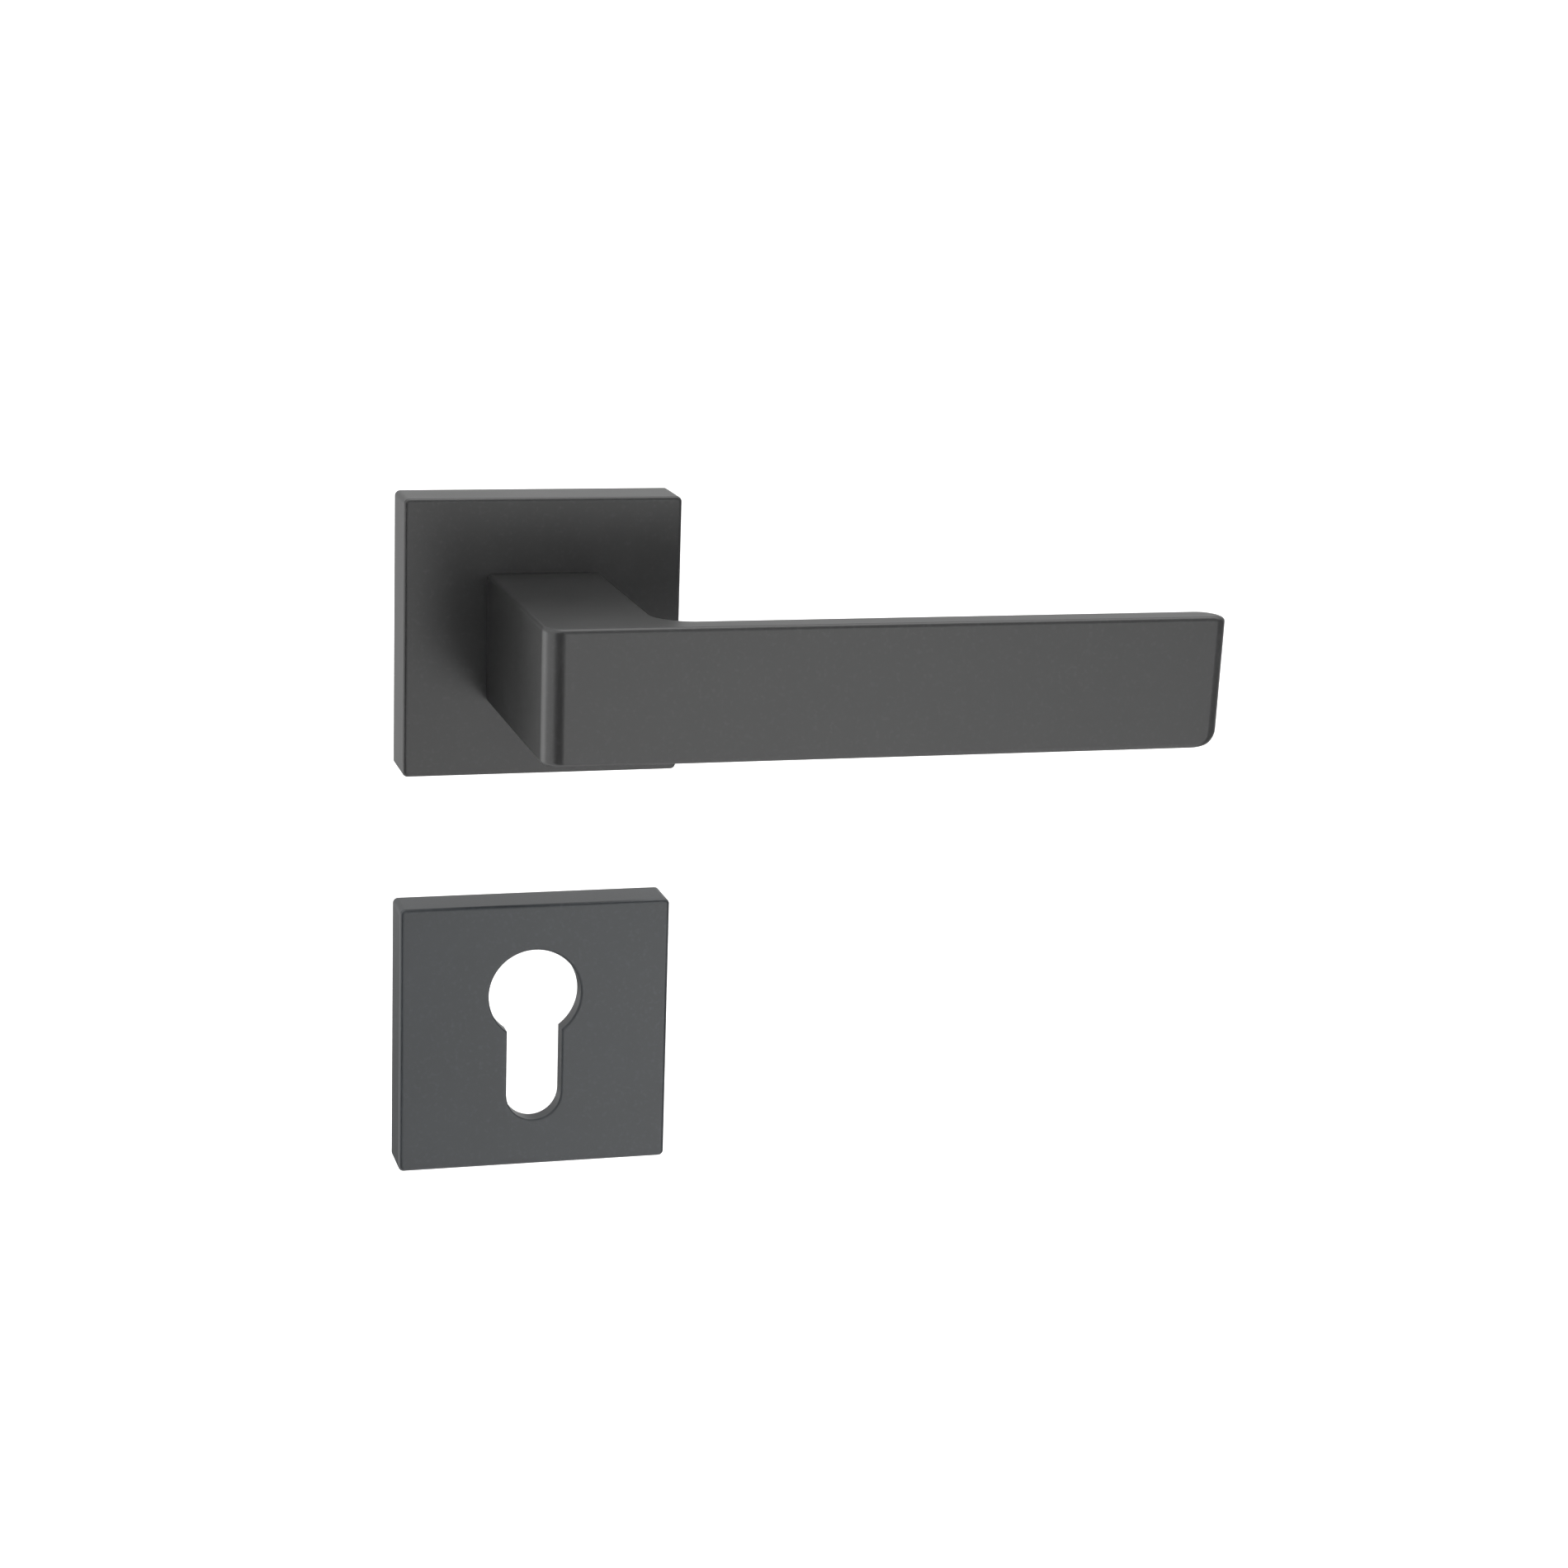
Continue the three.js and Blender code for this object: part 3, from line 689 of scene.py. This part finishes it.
def hub_circlip():
    """Retaining ring of even width, with two pierced ears."""
    low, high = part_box("hub_circlip")
    inner = CIRCLIP_INNER_RADIUS
    outer = (high.x - low.x) / 2
    start, end = CIRCLIP_OPENING - math.pi / 2, 1.5 * math.pi - CIRCLIP_OPENING
    clip = ring_sector("circlip", inner, outer, start, end, low.y, high.y, 72)
    holes = []
    for angle in (start + CIRCLIP_EAR, end - CIRCLIP_EAR):
        middle = (inner + outer) / 2
        x, z = middle * math.cos(angle), middle * math.sin(angle)
        hole = [(CIRCLIP_EAR_RADIUS, low.y - PAST), (CIRCLIP_EAR_RADIUS, high.y + PAST)]
        holes.append(turned("ear", hole, x, z, 24))
    combine(clip, "DIFFERENCE", holes)
    return shade(soften(clip, 0.08 * MM))


def spring_driver():
    """Keyed disc with a lug that reaches through the rear plate's notch."""
    low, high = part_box("spring_driver")
    front, back = low.y, DRIVER_BACK
    disc = turned("driver", [(DRIVER_RADIUS, front), (DRIVER_RADIUS, back)], segments=96)
    arm = turned_block("arm", LUG_ROOT, LUG_OUTER, front, back, LUG_HALF_WIDTH, LUG_ANGLE)
    lug = turned_block("lug", LUG_INNER, LUG_OUTER, front, high.y, LUG_HALF_WIDTH, LUG_ANGLE)
    combine(disc, "UNION", [arm, lug])
    bore_profile = [(DRIVER_BORE_RADIUS, front - PAST), (DRIVER_BORE_RADIUS, back + PAST)]
    bore = turned("bore", bore_profile, segments=96)
    wide = DRIVER_BORE_RADIUS + PAST
    across = block("flats", -DRIVER_FLAT, DRIVER_FLAT, front - 2 * PAST, back + 2 * PAST, -wide, wide)
    combine(bore, "INTERSECT", [across])
    combine(disc, "DIFFERENCE", [bore])
    return shade(soften(disc, 0.1 * MM))


def turned_block(name, r0, r1, y0, y1, half_width, angle):
    """A straight-sided block that points away from the y axis at an angle."""
    c, s = math.cos(angle), math.sin(angle)
    corners = [(r0, -half_width), (r1, -half_width), (r1, half_width), (r0, half_width)]
    loops = [[Vector((r * c - w * s, y, r * s + w * c)) for r, w in corners] for y in (y0, y1)]
    return loft(name, loops)


def rear_plate():
    """Stamped plate over the spring chamber, with the stop notch and four countersunk holes."""
    low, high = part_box("rear_plate")
    half = (high.x - low.x) / 2
    plate = square_slab("spring_plate", half, PLATE_CORNER, low.y, high.y, edge=PLATE_EDGE)
    y0, y1 = low.y - 2 * PAST, high.y + 2 * PAST
    tools = [turned("middle", [(PLATE_BORE_RADIUS, y0), (PLATE_BORE_RADIUS, y1)], segments=96)]
    first, last = LUG_ANGLE - LEVER_TRAVEL - STOP_MARGIN, LUG_ANGLE + STOP_MARGIN
    tools.append(ring_sector("notch", NOTCH_INNER, NOTCH_OUTER, first, last, y0, y1))
    for z in screw_places("rose_screw_upper", "rose_screw_lower", "z"):
        hole = [(PLATE_BOSS_HOLE_RADIUS, y0), (PLATE_BOSS_HOLE_RADIUS, y1)]
        tools.append(turned("boss_hole", hole, 0, z, 48))
    narrow, wide = COUNTERSINK
    for x, z in plate_screw_places():
        profile = [(narrow, y0), (narrow, low.y), (wide, high.y), (wide, y1)]
        tools.append(turned("countersink", profile, x, z, 40))
    combine(plate, "DIFFERENCE", tools)
    return shade(plate)


def plate_screw_places():
    places = []
    for i in range(4):
        low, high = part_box(f"plate_screw_{i + 1}")
        places.append(((low.x + high.x) / 2, (low.z + high.z) / 2))
    return places


def screw_places(first, second, axis):
    places = []
    for node in (first, second):
        low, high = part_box(node)
        places.append((getattr(low, axis) + getattr(high, axis)) / 2)
    return places


def cover_clip(name, node, upright):
    """Bowed leaf spring, lying in a pocket of the base."""
    low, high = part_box(node)
    axis = "z" if upright else "x"
    outward = 1 if getattr(high, axis) + getattr(low, axis) > 2 * centre_of(node, axis) else -1
    inner = getattr(low if outward > 0 else high, axis)
    crest = getattr(high if outward > 0 else low, axis)
    other = "x" if upright else "z"
    width = (getattr(low, other), getattr(high, other))
    line = []
    steps = 24
    for i in range(steps + 1):
        share = i / steps
        y = low.y + (high.y - low.y) * share
        bow = math.sin(math.pi * share) ** 0.8 if 0 < share < 1 else 0
        line.append((inner + (crest - outward * CLIP_STRIP - inner) * bow, y))
    loops = []
    for edge in width:
        outer_line = [(a + outward * CLIP_STRIP, y) for a, y in reversed(line)]
        loop = [Vector((edge, y, a)) if upright else Vector((a, y, edge)) for a, y in line + outer_line]
        loops.append(loop)
    return shade(soften(loft(name, loops), 0.05 * MM))


def centre_of(node, axis):
    """Middle of the base that a clip belongs to, along an axis."""
    base = "escutcheon_base" if node.startswith("escutcheon") else "rose_base"
    low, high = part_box(base)
    return (getattr(low, axis) + getattr(high, axis)) / 2


# ---- Bases ----

def square_slab(name, half, corner, y0, y1, centre_z=0.0, edge=0.3 * MM):
    """Square plate or bar with round corners, chamfered by edge at both faces."""
    angles = outline_angles()
    loops = []
    for inset, y in ((edge, y0), (0, y0 + edge), (0, y1 - edge), (edge, y1)):
        loops.append(outline(angles, lambda a: square_reach(a, half - inset, corner), y, centre_z))
    return loft(name, loops)


def screw_seats(front, back, places):
    """Bosses, and the holes with their head recesses, of a base's two screws."""
    bosses, holes = [], []
    seat = front + HEAD_INSET + BOLT_HEAD_HEIGHT + HEAD_GAP
    root = front + 4 * MM
    flare = 0.4 * MM
    boss = [(BOSS_RADIUS, root), (BOSS_RADIUS, back - BOSS_CHAMFER), (BOSS_RADIUS - BOSS_CHAMFER, back)]
    through = [(BOSS_HOLE_RADIUS, front - PAST), (BOSS_HOLE_RADIUS, back - flare),
               (BOSS_HOLE_RADIUS + 2 * flare, back + flare)]
    head_room = [(HEAD_SEAT_RADIUS, front - PAST), (HEAD_SEAT_RADIUS, seat)]
    for x, z in places:
        bosses.append(turned("boss", boss, x, z, 64))
        holes.append(turned("hole", through, x, z, 48))
        holes.append(turned("seat", head_room, x, z, 48))
    return bosses, holes


def rose_base():
    """Die-cast housing: bush seat, spring chamber, plate recess and two bosses."""
    low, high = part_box("rose_base")
    half = (high.x - low.x) / 2
    base = square_slab("rose_housing", half, BASE_CORNER, low.y, 0)
    plate_low, plate_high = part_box("rear_plate")
    recess_half = (plate_high.x - plate_low.x) / 2 + PLATE_GAP
    recess_floor = plate_low.y - 0.3 * MM
    recess = square_slab("recess", recess_half, RECESS_CORNER, recess_floor, 2 * PAST, edge=0.01 * MM)
    chamber_front = low.y + CHAMBER_FLOOR
    chamber = ring_cut("chamber", CHAMBER_INNER, CHAMBER_OUTER, chamber_front, PAST)
    room_profile = [(CHAMBER_OUTER, DRIVER_ROOM_FRONT), (CHAMBER_OUTER, PAST)]
    driver_room = turned("driver_room", room_profile, segments=96)
    bore_profile = [(BUSH_BORE_RADIUS, low.y - PAST), (BUSH_BORE_RADIUS, PAST)]
    bore = turned("bush_bore", bore_profile, segments=96)
    combine(base, "DIFFERENCE", [recess, chamber, driver_room, bore])
    places = [(0, z) for z in screw_places("rose_screw_upper", "rose_screw_lower", "z")]
    bosses, holes = screw_seats(low.y, high.y, places)
    combine(base, "UNION", bosses)
    for x, z in plate_screw_places():
        holes.append(turned("pilot", [(PILOT_RADIUS, PILOT_END), (PILOT_RADIUS, PAST)], x, z, 32))
    for side in (-1, 1):
        x0, x1 = sorted((side * (half - MM), side * (half + MM)))
        holes.append(block("pocket", x0, x1, ROSE_CLIP_FRONT, CLIP_POCKET_BACK,
                           -CLIP_POCKET_HALF, CLIP_POCKET_HALF))
    holes.append(turned_block("leg_slot", *LEG_SLOT, chamber_front, LEG_SLOT_BACK, LEG_SLOT_HALF, LEG_ANGLE))
    combine(base, "DIFFERENCE", holes)
    return shade(base)


def ring_cut(name, inner, outer, y0, y1):
    corners = [(inner, y0), (outer, y0), (outer, y1), (inner, y1)]
    return loft(name, [circle_loop(r, y, segments=96) for r, y in corners], ring=True)


def cast_pocket(middle, floor, mouth):
    """Cutter for a lightening pocket with round corners, draft, and a broken edge at its mouth."""
    draft = 0.25 * MM
    edge = 0.3 * MM
    toe_width, toe_height = 0.6 * MM, 0.5 * MM
    spans = [(-draft - toe_width, floor), (-draft, floor + toe_height), (0, -edge), (edge, 0), (edge, mouth)]
    loops = []
    for out, y in spans:
        half_x, half_z = (half + out for half in POCKET_HALF)
        corner = POCKET_CORNER + out
        loop = []
        for quarter, (u, v) in enumerate(((1, 1), (-1, 1), (-1, -1), (1, -1))):
            cx = middle[0] + u * (half_x - corner)
            cz = middle[1] + v * (half_z - corner)
            start = math.pi / 2 * quarter
            loop += [Vector((x, y, z)) for x, z in arc(cx, cz, corner, start, start + math.pi / 2, 8)]
        loops.append(loop)
    return loft("pocket", loops)


def escutcheon_base():
    """Die-cast frame round the key hole, hollowed from behind, with two bosses."""
    low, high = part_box("escutcheon_base")
    half = (high.x - low.x) / 2
    centre_z = (low.z + high.z) / 2
    base = square_slab("escutcheon_frame", half, BASE_CORNER, low.y, 0, centre_z)
    places = [(x, centre_z) for x in screw_places("escutcheon_screw_left", "escutcheon_screw_right", "x")]
    bosses, holes = screw_seats(low.y, high.y, places)
    combine(base, "UNION", bosses)
    for side_x in (-1, 1):
        for side_z in (-1, 1):
            middle = (side_x * POCKET_MIDDLE[0], centre_z + side_z * POCKET_MIDDLE[1])
            holes.append(cast_pocket(middle, low.y + POCKET_FLOOR, high.y))
    for side in (-1, 1):
        z0, z1 = sorted((side * (half - MM), side * (half + MM)))
        holes.append(block("clip_pocket", -CLIP_POCKET_HALF, CLIP_POCKET_HALF,
                           ESCUTCHEON_CLIP_FRONT, CLIP_POCKET_BACK, centre_z + z0, centre_z + z1))
    angles = outline_angles([key_notch_angle(BASE_KEY_MARGIN)])
    levels = (low.y - PAST, PAST)
    loops = [outline(angles, lambda a: key_reach(a, BASE_KEY_MARGIN), y, centre_z) for y in levels]
    holes.append(loft("key", loops))
    combine(base, "DIFFERENCE", holes)
    return shade(base)


# ---- Materials ----

class Nodes:
    """A material's node tree, with short calls to add and join nodes."""

    def __init__(self, name):
        self.material = bpy.data.materials.new(name)
        self.material.use_nodes = True
        self.tree = self.material.node_tree
        self.tree.nodes.clear()
        self.shader = self.add("ShaderNodeBsdfPrincipled")
        output = self.add("ShaderNodeOutputMaterial")
        self.join(self.shader.outputs["BSDF"], output.inputs["Surface"])
        self.place = self.add("ShaderNodeTexCoord").outputs["Object"]

    def add(self, kind, **values):
        node = self.tree.nodes.new(kind)
        for key, value in values.items():
            setattr(node, key, value)
        return node

    def join(self, output, socket):
        self.tree.links.new(output, socket)

    def noise(self, scale, detail=4.0, roughness=0.6, stretch=(1, 1, 1)):
        """Noise of about scale features per metre."""
        mapping = self.add("ShaderNodeMapping")
        mapping.inputs["Scale"].default_value = stretch
        self.join(self.place, mapping.inputs["Vector"])
        node = self.add("ShaderNodeTexNoise")
        node.inputs["Scale"].default_value = scale
        node.inputs["Detail"].default_value = detail
        node.inputs["Roughness"].default_value = roughness
        self.join(mapping.outputs["Vector"], node.inputs["Vector"])
        return node.outputs["Fac"]

    def range(self, value, low, high, from_low=0.3, from_high=0.7):
        node = self.add("ShaderNodeMapRange")
        node.inputs["From Min"].default_value = from_low
        node.inputs["From Max"].default_value = from_high
        node.inputs["To Min"].default_value = low
        node.inputs["To Max"].default_value = high
        self.join(value, node.inputs["Value"])
        return node.outputs["Result"]

    def mix(self, share, first, second):
        node = self.add("ShaderNodeMix", data_type="RGBA")
        for socket, value in (("Factor", share), ("A", first), ("B", second)):
            target = next(s for s in node.inputs if s.name == socket and s.enabled)
            if isinstance(value, tuple):
                target.default_value = (*value, 1)
            else:
                self.join(value, target)
        return next(s for s in node.outputs if s.enabled)

    def math(self, operation, first, second):
        node = self.add("ShaderNodeMath", operation=operation)
        for socket, value in zip(node.inputs, (first, second)):
            if isinstance(value, (int, float)):
                socket.default_value = value
            else:
                self.join(value, socket)
        return node.outputs["Value"]

    def bump(self, height, distance, strength=1.0, under=None):
        node = self.add("ShaderNodeBump")
        node.inputs["Distance"].default_value = distance
        node.inputs["Strength"].default_value = strength
        self.join(height, node.inputs["Height"])
        if under is not None:
            self.join(under, node.inputs["Normal"])
        return node.outputs["Normal"]


def anthracite_coat(name, blue=1.03):
    """Fine matt powder coat: a faint grain with slow changes of tone; blue is blue light over red."""
    n = Nodes(name)
    shader = n.shader.inputs
    grain = n.noise(1300, detail=2, roughness=0.5)
    cloud = n.noise(55, detail=3, roughness=0.5)
    tone = n.mix(n.range(cloud, 0, 1), tinted_grey(0.020, blue), tinted_grey(0.025, blue))
    flecks = n.range(grain, 0, 1, from_low=0.55, from_high=0.8)
    n.join(n.mix(flecks, tone, tinted_grey(0.032, blue)), shader["Base Color"])
    n.join(n.range(cloud, 0.282, 0.315), shader["Roughness"])
    shader["Metallic"].default_value = 0.0
    shader["IOR"].default_value = 1.75
    n.join(n.bump(grain, distance=0.006 * MM, strength=0.3), shader["Normal"])
    return n.material


def tinted_grey(level, blue):
    return (level, level * (1 + blue) / 2, level * blue)


def cast_zinc():
    """Grey die casting with a slightly pitted, tumbled skin."""
    n = Nodes("cast_zinc")
    shader = n.shader.inputs
    skin = n.noise(900, detail=5, roughness=0.65)
    stain = n.noise(90, detail=3, roughness=0.5)
    tone = n.mix(n.range(stain, 0, 1), (0.36, 0.365, 0.37), (0.47, 0.475, 0.48))
    pits = n.range(skin, 0, 0.6, from_low=0.45, from_high=0.75)
    n.join(n.mix(pits, tone, (0.28, 0.285, 0.29)), shader["Base Color"])
    n.join(n.range(skin, 0.42, 0.62), shader["Roughness"])
    shader["Metallic"].default_value = 0.85
    n.join(n.bump(skin, distance=0.03 * MM, strength=0.8), shader["Normal"])
    return n.material


def zinc_plate():
    """Bright zinc-plated steel with faint drawing lines and a cool tint."""
    n = Nodes("zinc_plate")
    shader = n.shader.inputs
    lines = n.noise(2600, detail=4, roughness=0.6, stretch=(1, 0.06, 1))
    tint = n.noise(120, detail=3, roughness=0.5)
    tone = n.mix(n.range(tint, 0, 1), (0.56, 0.58, 0.61), (0.66, 0.66, 0.64))
    n.join(tone, shader["Base Color"])
    n.join(n.range(lines, 0.26, 0.4), shader["Roughness"])
    shader["Metallic"].default_value = 1.0
    n.join(n.bump(lines, distance=0.008 * MM, strength=0.6), shader["Normal"])
    return n.material


def spring_steel():
    """Dark oiled spring steel."""
    n = Nodes("spring_steel")
    shader = n.shader.inputs
    scale = n.noise(1500, detail=4, roughness=0.6)
    n.join(n.mix(n.range(scale, 0, 1), (0.17, 0.17, 0.18), (0.27, 0.27, 0.28)), shader["Base Color"])
    n.join(n.range(scale, 0.28, 0.42), shader["Roughness"])
    shader["Metallic"].default_value = 1.0
    n.join(n.bump(scale, distance=0.006 * MM, strength=0.6), shader["Normal"])
    return n.material


def nylon():
    """Off-white moulded nylon."""
    n = Nodes("nylon")
    shader = n.shader.inputs
    skin = n.noise(1800, detail=3, roughness=0.6)
    n.join(n.mix(n.range(skin, 0, 1), (0.70, 0.68, 0.62), (0.78, 0.76, 0.70)), shader["Base Color"])
    n.join(n.range(skin, 0.42, 0.55), shader["Roughness"])
    shader["Subsurface Weight"].default_value = 0.1
    shader["Subsurface Scale"].default_value = 1 * MM
    n.join(n.bump(skin, distance=0.01 * MM, strength=0.5), shader["Normal"])
    return n.material


def pale_floor():
    """Matt white paper that glows a little, so that it shows no horizon."""
    n = Nodes("pale_floor")
    cloud = n.noise(3, detail=2, roughness=0.5)
    tone = n.mix(n.range(cloud, 0, 1), (0.88, 0.88, 0.88), (0.90, 0.90, 0.90))
    n.join(tone, n.shader.inputs["Base Color"])
    n.shader.inputs["Roughness"].default_value = 0.9
    n.shader.inputs["Emission Color"].default_value = (1, 1, 1, 1)
    n.shader.inputs["Emission Strength"].default_value = FLOOR_GLOW
    return n.material


# ---- Assembly ----

def build_object():
    coat, cool_coat = anthracite_coat("anthracite_coat"), anthracite_coat("escutcheon_coat", 1.35)
    zinc, plated = cast_zinc(), zinc_plate()
    steel, plastic = spring_steel(), nylon()
    made = [
        (lever_handle(), "lever_handle", "anthracite_finish", coat),
        (rose_cover(), "rose_cover", "anthracite_finish", coat),
        (escutcheon_cover(), "escutcheon_cover", "anthracite_finish", cool_coat),
        (spindle(), "spindle", "zinc_plated_steel", plated),
        (grub_screw(), "grub_screw", "spring_steel", steel),
        (spring_driver(), "spring_driver", "zinc_plated_steel", plated),
        (hub_circlip(), "hub_circlip", "spring_steel", steel),
        (rear_plate(), "rear_plate", "zinc_plated_steel", plated),
        (rose_base(), "rose_base", "cast_zinc", zinc),
        (escutcheon_base(), "escutcheon_base", "cast_zinc", zinc),
        (cover_clip("rose_leaf_left", "rose_clip_left", False), "rose_clip_left", "spring_steel", steel),
        (cover_clip("rose_leaf_right", "rose_clip_right", False), "rose_clip_right", "spring_steel", steel),
        (cover_clip("escutcheon_leaf_upper", "escutcheon_clip_upper", True),
         "escutcheon_clip_upper", "spring_steel", steel),
        (cover_clip("escutcheon_leaf_lower", "escutcheon_clip_lower", True),
         "escutcheon_clip_lower", "spring_steel", steel),
    ]
    for node in ("rose_screw_upper", "rose_screw_lower", "escutcheon_screw_left", "escutcheon_screw_right"):
        made.append((fixing_screw(f"{node}_m4", node), node, "zinc_plated_steel", plated))
    for i in range(1, 5):
        node = f"plate_screw_{i}"
        made.append((plate_screw(f"{node}_csk", node), node, "zinc_plated_steel", plated))
    for piece, node, slot, look in made:
        finish_piece(piece, node, look)
    for node in ("bearing_bush", "thrust_washer"):
        keep_node(node, plastic)
    wind_spring(return_spring(), steel)


def keep_node(node, look):
    """A CAD solid that stays as it is, with a better material and smooth round faces."""
    piece = frame["nodes"][node]
    piece.data.materials.clear()
    piece.data.materials.append(look)
    piece.data.shade_smooth()
    piece.data.set_sharp_from_angle(angle=math.radians(35))


# ---- Stage ----

FLOOR_DROP = 0.25
ROOM_RADIUS = 16.0
ROOM_HEIGHT = 16.0
SWEEP = 4.0
STUDIO_LIGHT = 1.0
OVERHEAD_LIGHT = 0.6
FLOOR_GLOW = 0.3
# Cones of the studio that give another share of its light: azimuth from the front, elevation,
# inner and outer half angle in degrees, and the share inside.
ZONES = [
    (-24, -3, 16, 36, 0.05),
    (-10, -30, 8, 28, 0.12),
    (15, 38, 22, 40, 0.4),
    (21, -24, 4, 22, 1.9),
    (64, -8, 28, 50, 0.3),
    (-126, -12, 6, 26, 2.0),
    (-171, -29, 12, 15.5, 0.3),
    (169, 28, 12, 15.5, 0.75),
    (125, 68, 12, 34, 2.4),
    (164, 8, 6, 24, 1.25),
    (160, 0, 55, 95, 0.52),
]
CAMERA_PLACE = (-0.1217, -0.60784, 0.1201)
CAMERA_AZIMUTH = math.radians(-15.82)
CAMERA_ELEVATION = math.radians(13.57)
CAMERA_ROLL = math.radians(1.9)
CAMERA_LENS = 76.6
SENSOR = 36.0


def make_floor():
    """Seamless pale floor that sweeps up into a round wall far from the object."""
    level = cad_box[0].z - FLOOR_DROP
    middle = 0.5
    steps = 16
    profile = [(middle, level), (ROOM_RADIUS, level)]
    for k in range(1, steps + 1):
        turn = math.pi / 2 * k / steps
        profile.append((ROOM_RADIUS + SWEEP * math.sin(turn), level + SWEEP * (1 - math.cos(turn))))
    profile.append((ROOM_RADIUS + SWEEP, level + ROOM_HEIGHT))
    floor = loft("floor", [z_loop(lambda a: radius, 0, z, 96) for radius, z in profile])
    open_top(floor)
    floor.data.shade_smooth()
    floor.data.materials.append(pale_floor())
    floor.visible_glossy = False


def open_top(room):
    """Removes the lid that loft() puts on the wall."""
    work = bmesh.new()
    work.from_mesh(room.data)
    lid = max(work.faces, key=lambda face: face.calc_center_median().z)
    bmesh.ops.delete(work, geom=[lid], context="FACES_ONLY")
    work.to_mesh(room.data)
    work.free()


def make_camera():
    data = bpy.data.cameras.new("camera")
    data.sensor_width = SENSOR
    data.lens = CAMERA_LENS
    camera = bpy.data.objects.new("camera", data)
    bpy.context.scene.collection.objects.link(camera)
    camera.location = CAMERA_PLACE
    back = direction_of(CAMERA_AZIMUTH, CAMERA_ELEVATION)
    level = (-back).to_track_quat("-Z", "Y").to_matrix()
    camera.rotation_euler = (level @ Matrix.Rotation(CAMERA_ROLL, 3, "Z")).to_euler()
    bpy.context.scene.camera = camera


def direction_of(azimuth, elevation):
    """Unit vector at an azimuth, counted from the front towards +x, and an elevation, in radians."""
    level = math.cos(elevation)
    return Vector((math.sin(azimuth) * level, -math.cos(azimuth) * level, math.sin(elevation)))


def overhead_light():
    """Soft light straight down, which whitens the floor and isn't seen in the coat's reflections."""
    data = bpy.data.lights.new("overhead", "SUN")
    data.energy = OVERHEAD_LIGHT
    data.angle = math.radians(60)
    light = bpy.data.objects.new("overhead", data)
    bpy.context.scene.collection.objects.link(light)
    light.visible_glossy = False


def make_lights():
    """Studio light with brighter and darker zones, and a soft light from above for the floor."""
    world = bpy.data.worlds.new("studio")
    world.use_nodes = True
    tree = world.node_tree
    background = tree.nodes["Background"]
    direction = tree.nodes.new("ShaderNodeTexCoord").outputs["Generated"]
    light = None
    for zone in ZONES:
        share = zone_share(tree, direction, *zone)
        if light is None:
            light = share
            continue
        both = tree.nodes.new("ShaderNodeMath")
        both.operation = "MULTIPLY"
        tree.links.new(light, both.inputs[0])
        tree.links.new(share, both.inputs[1])
        light = both.outputs["Value"]
    strength = tree.nodes.new("ShaderNodeMath")
    strength.operation = "MULTIPLY"
    strength.inputs[1].default_value = STUDIO_LIGHT
    tree.links.new(light, strength.inputs[0])
    tree.links.new(white_backdrop(tree, strength.outputs["Value"]), background.inputs["Strength"])
    background.inputs["Color"].default_value = (1, 1, 1, 1)
    bpy.context.scene.world = world
    overhead_light()
    bpy.context.scene.view_settings.view_transform = "Standard"


def white_backdrop(tree, light):
    """The zones only light the object: seen directly, the studio is plain white."""
    backdrop = tree.nodes.new("ShaderNodeMix")
    seen_directly = tree.nodes.new("ShaderNodeLightPath").outputs["Is Camera Ray"]
    tree.links.new(seen_directly, backdrop.inputs["Factor"])
    tree.links.new(light, backdrop.inputs["A"])
    backdrop.inputs["B"].default_value = 1.0
    return backdrop.outputs["Result"]


def zone_share(tree, direction, azimuth, elevation, inner, outer, share):
    """1 outside a cone of directions, falling to share inside it."""
    towards = tree.nodes.new("ShaderNodeVectorMath")
    towards.operation = "DOT_PRODUCT"
    towards.inputs[1].default_value = direction_of(math.radians(azimuth), math.radians(elevation))
    tree.links.new(direction, towards.inputs[0])
    fade = tree.nodes.new("ShaderNodeMapRange")
    fade.interpolation_type = "SMOOTHSTEP"
    fade.inputs["From Min"].default_value = math.cos(math.radians(outer))
    fade.inputs["From Max"].default_value = math.cos(math.radians(inner))
    fade.inputs["To Min"].default_value = 1.0
    fade.inputs["To Max"].default_value = share
    tree.links.new(towards.outputs["Value"], fade.inputs["Value"])
    return fade.outputs["Result"]


build_object()
make_floor()
make_camera()
make_lights()
